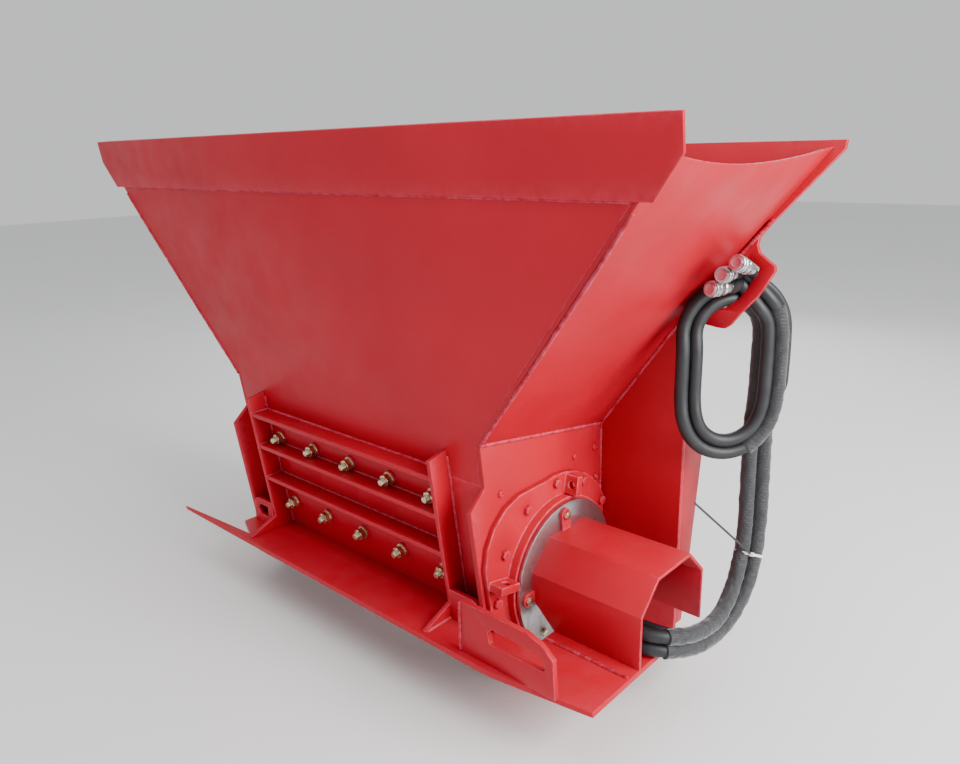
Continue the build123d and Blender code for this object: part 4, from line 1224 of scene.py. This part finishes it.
@dataclass
class Hoses:
    """Two pressure hoses and a thinner drain hose, with their sleeves."""

    wardrobe: Wardrobe
    sleeve: Tree
    radius: float = 13.0
    drain_radius: float = 9.0
    drain_port: Vector = field(default_factory=lambda: Vector((624.0, -28.0, 186.0)))
    couplers: list["Coupler"] = field(default_factory=list)

    def curve(self, name: str, points: Sequence[Vector], radius: float) -> Piece:
        """Round tube on a smooth spline.

        Args:
            name: Piece name.
            points: Control points in millimetres.
            radius: Tube radius in millimetres.
        Returns:
            The curve object.
        """
        data = bpy.data.curves.new(name, "CURVE")
        data.dimensions = "3D"
        data.bevel_depth = radius * MM
        data.bevel_resolution = 7
        data.resolution_u = 8
        data.use_fill_caps = True
        spline = data.splines.new("NURBS")
        spline.points.add(len(points) - 1)
        for target, point in zip(spline.points, points):
            target.co = (*(point * MM), 1.0)
        spline.order_u = 3
        spline.use_endpoint_u = True
        piece = bpy.data.objects.new(name, data)
        bpy.context.scene.collection.objects.link(piece)
        data.materials.append(self.wardrobe.get(Finish.RUBBER))
        return piece

    def line(self, points: Sequence[Vector]) -> list[Vector]:
        """Points of the smooth spline that runs through a stretch of route, in metres.

        Args:
            points: Control points in millimetres.
        Returns:
            The points.
        """
        bare = self.curve("bare_line", points, 0.0)
        graph = bpy.context.evaluated_depsgraph_get()
        mesh = bpy.data.meshes.new_from_object(bare.evaluated_get(graph))
        found = [v.co.copy() for v in mesh.vertices]
        bpy.data.objects.remove(bare)
        bpy.data.meshes.remove(mesh)
        return found

    def pull_sleeve(self, name: str, points: Sequence[Vector], radius: float) -> None:
        """Pull a creased sleeve over a stretch of hose.

        Args:
            name: Piece name.
            points: Control points of the stretch in millimetres.
            radius: Sleeve radius in millimetres.
        """
        holder = path_object(f"{name}_path", self.line(points))
        material = self.wardrobe.get(Finish.SLEEVE)
        grow(holder, self.sleeve, {"Finish": material, "Radius": radius * MM, "Crease": 5.0 * MM,
                                   "Crease Width": 16 * MM})
        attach(baked(holder, name, material), MAIN_BODY)

    def drain_fitting(self) -> None:
        """Make the drain hose's crimped ferrule and hexagon on the motor's rear face."""
        profile = [(0.0, 0.0), (0.011, 0.0), (0.011, 0.012), (0.0085, 0.0135), (0.0085, 0.016), (0.0112, 0.017),
                   (0.0112, 0.024), (0.0104, 0.0255), (0.0112, 0.027), (0.0112, 0.034), (0.0098, 0.036),
                   (0.0, 0.036)]
        shape = turned(profile, 48, hexed(-1.0, 0.0125, 0.01))
        _, motor_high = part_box("hydraulic_motor")
        seat = Vector((motor_high.x, self.drain_port.y * MM, self.drain_port.z * MM))
        shape.transform(aim(RIGHT, seat))
        piece = link("drain_fitting", mesh_from("drain_fitting", shape, 35.0), self.wardrobe.get(Finish.BRIGHT))
        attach(piece, MAIN_BODY)

    def build(self) -> None:
        """Make the three hoses, their sleeves and the drain fitting."""
        self.drain_fitting()
        outer = Strand((14, -13), (13, -10), (13, 2), (13, 10), (14, 15))
        inner = Strand((-13, -13), (-13, -10), (-13, 2), (-13, 10), (-12, 15))
        drain = Strand((0, -34), (2, -28), (0, -20), (0, -14), (31, 6))
        first, second, third = self.couplers
        lower = hose_route(-1) + outer.turn() + second.entry()
        upper = hose_route(1) + inner.turn() + first.entry()
        start = [self.drain_port, *DRAIN_LEAD] + [Vector(p) - COIL_FACE * DRAIN_BEHIND for p in HOSE_ROUTE[3:]]
        thin = start + drain.turn() + third.entry()
        facts = (("hose_outer", lower, self.radius, 1.93, HOSE_LOWER, second),
                 ("hose_inner", upper, self.radius, 1.69, HOSE_UPPER, first),
                 ("hose_drain", thin, self.drain_radius, 1.80, (), third))
        for name, points, radius, length, replaced, coupler in facts:
            piece = self.curve(name, points, radius)
            if replaced:
                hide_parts(*replaced)
            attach(piece, MAIN_BODY)
        self.pull_sleeve("sleeve_outer_riser", lower[2:19], self.radius + 1.6)
        self.pull_sleeve("sleeve_inner_riser", upper[2:19], self.radius + 1.6)
        self.pull_sleeve("sleeve_outer_second", lower[30:38], self.radius + 1.6)


@dataclass
class Coupler:
    """Hydraulic quick coupler: hexagon body, knurled locking sleeve, crimped ferrule and a vinyl dust cap."""

    wardrobe: Wardrobe
    number: int
    axis: Vector
    front: Vector
    slot: Vector
    length: float = 84.0
    body: Piece | None = None

    def entry(self) -> list[Vector]:
        """Route of the hose through the ear's slot into this coupler, in millimetres.

        Returns:
            Its last points.
        """
        end = self.front / MM + self.axis * (self.length - 14)
        return [self.slot, self.front / MM + self.axis * (self.length + 14), end]

    def piece(self, name: str, shape: Shape, finish: Finish) -> Piece:
        """Put a turned shape on the coupler's axis.

        Args:
            name: Piece name.
            shape: Shape along +Z from the front end.
            finish: Its finish.
        Returns:
            The piece.
        """
        shape.transform(aim(self.axis, self.front))
        return link(name, mesh_from(name, shape, 35.0), self.wardrobe.get(finish))

    def build(self) -> None:
        """Make the three pieces of one coupler."""
        barrel = [(0.0, 0.012), (0.007, 0.012), (0.007, 0.001), (0.0085, 0.0), (0.0105, 0.0), (0.011, 0.0012),
                  (0.011, 0.040), (0.0118, 0.0415), (0.0125, 0.043), (0.0125, 0.057), (0.0112, 0.0585),
                  (0.0098, 0.0600), (0.0105, 0.0615), (0.0105, 0.066), (0.0098, 0.067), (0.0098, 0.069),
                  (0.0105, 0.070), (0.0105, 0.075), (0.0098, 0.076), (0.0098, 0.078), (0.0105, 0.079),
                  (0.0105, 0.083), (0.0096, 0.084), (0.0, 0.084)]
        self.body = self.piece(f"coupler_{self.number}_body", turned(barrel, 48, hexed(0.0425, 0.0575, 0.012)),
                               Finish.BRIGHT)
        sleeve = [(0.01108, 0.002), (0.0135, 0.002), (0.0148, 0.0032), (0.015, 0.005), (0.015, 0.011),
                  (0.0138, 0.012), (0.0138, 0.0158), (0.015, 0.0168), (0.015, 0.0195), (0.015, 0.0305),
                  (0.0146, 0.032), (0.0135, 0.033), (0.01108, 0.033)]
        ring = turned(sleeve, 144, knurled)
        lids = [f for f in ring.faces if len(f.verts) > 4]
        bmesh.ops.delete(ring, geom=lids, context="FACES_ONLY")
        self.bridge(ring)
        grip = self.piece(f"coupler_{self.number}_sleeve", ring, Finish.BRIGHT)
        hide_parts(f"coupler_sleeve_{self.number}")
        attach(grip, f"sleeve_{self.number}")
        dome = [(0.0, -0.0016), (0.0050, -0.0018), (0.0074, -0.0024), (0.0084, -0.0030), (0.0090, -0.0026),
                (0.0092, -0.0004), (0.0085, 0.0), (0.0069, 0.0), (0.0066, 0.007), (0.0, 0.0075)]
        cap = self.piece(f"coupler_{self.number}_cap", turned(dome, 40), Finish.CAP)
        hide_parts("coupler_caps")
        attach(cap, MAIN_BODY)
        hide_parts("coupler_bodies")
        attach(self.body, MAIN_BODY)

    def bridge(self, ring: Shape) -> None:
        """Close a tube between its two open rims.

        Args:
            ring: Tube that is open between its rims.
        """
        rims = [e for e in ring.edges if len(e.link_faces) == 1]
        bmesh.ops.bridge_loops(ring, edges=rims)
        bmesh.ops.recalc_face_normals(ring, faces=ring.faces)


def make_couplers(wardrobe: Wardrobe, joints: Sequence[dict]) -> list[Coupler]:
    """Make the three couplers where the frame has their sleeves.

    Args:
        wardrobe: Finishes.
        joints: Joints of the frame.
    Returns:
        The couplers.
    """
    slots = (Vector((685.0, 200.0, 816.0)), Vector((688.0, 207.0, 836.0)), Vector((706.0, 205.0, 831.0)))
    sleeve_middle = 17.5 * MM
    made = []
    for number, slot in enumerate(slots, start=1):
        joint = next(j for j in joints if j["child"] == f"sleeve_{number}")
        axis = Vector(joint["axis"]).normalized()
        low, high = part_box(f"coupler_sleeve_{number}")
        coupler = Coupler(wardrobe, number, axis, (low + high) / 2 - axis * sleeve_middle, slot)
        coupler.build()
        made.append(coupler)
    return made


@dataclass
class Tie:
    """Nylon cable tie: a band round both risers, its lock, and the long uncut tail."""

    wardrobe: Wardrobe
    thick: float = 1.3 * MM
    wide: float = 5.0 * MM

    def build(self) -> None:
        """Make the band and its tail."""
        low, high = (hose_route(side)[TIE_AT] * MM for side in (-1, 1))
        after = hose_route(1)[TIE_AT + 1] * MM - high
        along = after.normalized()
        across = (high - low).normalized()
        out = along.cross(across).normalized()
        centre = (low + high) / 2
        half = (high - low).length / 2
        radius = 15.4 * MM
        loop = []
        for i in range(48):
            angle = 2 * math.pi * i / 48
            shift = half if math.cos(angle) >= 0 else -half
            loop.append(centre + across * (shift + radius * math.cos(angle)) + out * radius * math.sin(angle))
        self.band("tie_band", loop, along, True, Finish.NYLON_WHITE)
        face = -out if out.dot(COIL_FACE) < 0 else out
        root = centre + face * (radius + 2 * MM)
        tail = [root + face * t * 0.02 + UP * t * 0.115 - across_level(across) * t * 0.125 for t in
                (0.0, 0.12, 0.28, 0.46, 0.64, 0.82, 1.0)]
        self.band("tie_tail", tail, along, False, Finish.NYLON_BLACK)
        lock = bmesh.new()
        bmesh.ops.create_cube(lock, size=1.0)
        bmesh.ops.scale(lock, vec=(9 * MM, 5 * MM, 8 * MM), verts=lock.verts)
        bmesh.ops.bevel(lock, geom=lock.edges[:], offset=1.0 * MM, segments=2, profile=0.5, affect="EDGES")
        lock.transform(aim(along, root))
        piece = link("tie_lock", mesh_from("tie_lock", lock), self.wardrobe.get(Finish.NYLON_WHITE))
        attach(piece, MAIN_BODY)

    def band(self, name: str, path: list[Vector], wide_way: Vector, closed: bool, finish: Finish) -> None:
        """Flat strap along a path.

        Args:
            name: Piece name.
            path: Points of its middle.
            wide_way: Direction of its width.
            closed: Whether it joins up.
            finish: Its finish.
        """
        shape = bmesh.new()
        rows = []
        for i, point in enumerate(path):
            before = path[i - 1 if closed or i else 0]
            after = path[(i + 1) % len(path) if closed or i + 1 < len(path) else i]
            side = (after - before).cross(wide_way).normalized() * self.thick / 2
            edge = wide_way * self.wide / 2
            corners = ((1, 1), (1, -1), (-1, -1), (-1, 1))
            rows.append([shape.verts.new(point + a * side + b * edge) for a, b in corners])
        pairs = list(zip(rows, rows[1:])) + ([(rows[-1], rows[0])] if closed else [])
        for first, second in pairs:
            for k in range(4):
                shape.faces.new((first[k], first[(k + 1) % 4], second[(k + 1) % 4], second[k]))
        if not closed:
            shape.faces.new(rows[0])
            shape.faces.new(rows[-1])
        bmesh.ops.recalc_face_normals(shape, faces=shape.faces)
        piece = link(name, mesh_from(name, shape), self.wardrobe.get(finish))
        if closed:
            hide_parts("cable_tie")
        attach(piece, MAIN_BODY)


def across_level(direction: Vector) -> Vector:
    """Level part of a direction, pointing toward +X.

    Args:
        direction: The direction.
    Returns:
        Its level part, as a unit.
    """
    level = Vector((direction.x, direction.y, 0.0)).normalized()
    return level if level.x > 0 else -level


# ---------------------------------------------------------------- stage
@dataclass(frozen=True)
class Studio:
    """Pale floor, soft lights and the camera."""

    place: tuple[float, float, float] = (1.3187, -1.1977, 1.0588)
    right: tuple[float, float, float] = (0.7391, 0.6733, -0.0225)
    up: tuple[float, float, float] = (-0.1733, 0.2222, 0.9595)
    forward: tuple[float, float, float] = (-0.6510, 0.7052, -0.2809)
    lens_mm: float = 29.74
    film_mm: float = 36.0

    def build(self) -> None:
        """Set up floor, light and camera."""
        self.floor()
        self.light("key", (3.4, 0.1, 2.0), (0.3, 0.0, 0.5), 2.2, 260)
        self.light("front", (-1.2, -3.6, 1.0), (0.0, 0.0, 0.5), 2.6, 18)
        self.light("top", (0.2, -0.6, 3.8), (0.0, 0.0, 0.5), 3.2, 50)
        self.light("rear", (-1.2, 3.0, 1.8), (0.0, 0.0, 0.6), 2.0, 40)
        world = bpy.data.worlds.new("pale_room")
        world.use_nodes = True
        world.node_tree.nodes["Background"].inputs["Color"].default_value = linear("f6f7f8")
        world.node_tree.nodes["Background"].inputs["Strength"].default_value = 0.80
        bpy.context.scene.world = world
        self.camera()

    def floor(self) -> None:
        """Lay the floor just below the skids."""
        shape = bmesh.new()
        bmesh.ops.create_grid(shape, x_segments=1, y_segments=1, size=14.0)
        material, tree, shader, where = new_material("pale_floor")
        tone = mix(tree, noise(tree, where, 900, 2), "dfe0e0", "e6e6e5")
        tree.links.new(tone, shader.inputs["Base Color"])
        shader.inputs["Roughness"].default_value = 0.85
        floor = link("floor", mesh_from("floor", shape), material)
        floor.location.z = -0.0008

    def light(self, name: str, place: tuple[float, float, float], target: tuple[float, float, float], size: float,
              power: float) -> None:
        """Add one soft area light.

        Args:
            name: Light name.
            place: Where it stands.
            target: What it points at.
            size: Side in metres.
            power: Watts.
        """
        data = bpy.data.lights.new(name, "AREA")
        data.size = size
        data.energy = power
        lamp = bpy.data.objects.new(name, data)
        lamp.location = place
        lamp.rotation_euler = (Vector(target) - Vector(place)).to_track_quat("-Z", "Y").to_euler()
        bpy.context.scene.collection.objects.link(lamp)

    def camera(self) -> None:
        """Stand the camera in front of the right end, a little below the lip."""
        data = bpy.data.cameras.new("camera")
        data.lens = self.lens_mm
        data.sensor_width = self.film_mm
        camera = bpy.data.objects.new("camera", data)
        back = -Vector(self.forward)
        rows = Matrix((self.right, self.up, back)).transposed().to_4x4()
        camera.matrix_world = Matrix.Translation(self.place) @ rows
        bpy.context.scene.collection.objects.link(camera)
        bpy.context.scene.camera = camera


def main() -> None:
    """Dress the frame, piece by piece."""
    logging.basicConfig(level=logging.INFO, format="%(name)s: %(message)s")
    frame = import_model()
    nodes = frame["nodes"]
    body_of = {n: body for body, names in frame["record"]["behaviour"]["bodies"].items() for n in names}
    wardrobe = Wardrobe()
    LOG.info("steelwork: %d pieces", len(Steelwork(wardrobe, nodes, body_of).build()))
    Fasteners(wardrobe, nodes, repeat_tree()).build()
    welds = Welds(wardrobe, bead_tree())
    welds.build()
    LOG.info("welds: %d", welds.made)
    couplers = make_couplers(wardrobe, frame["joints"])
    Hoses(wardrobe, sleeve_tree(), couplers=couplers).build()
    Tie(wardrobe).build()
    Studio().build()


if __name__ == "__main__":
    main()
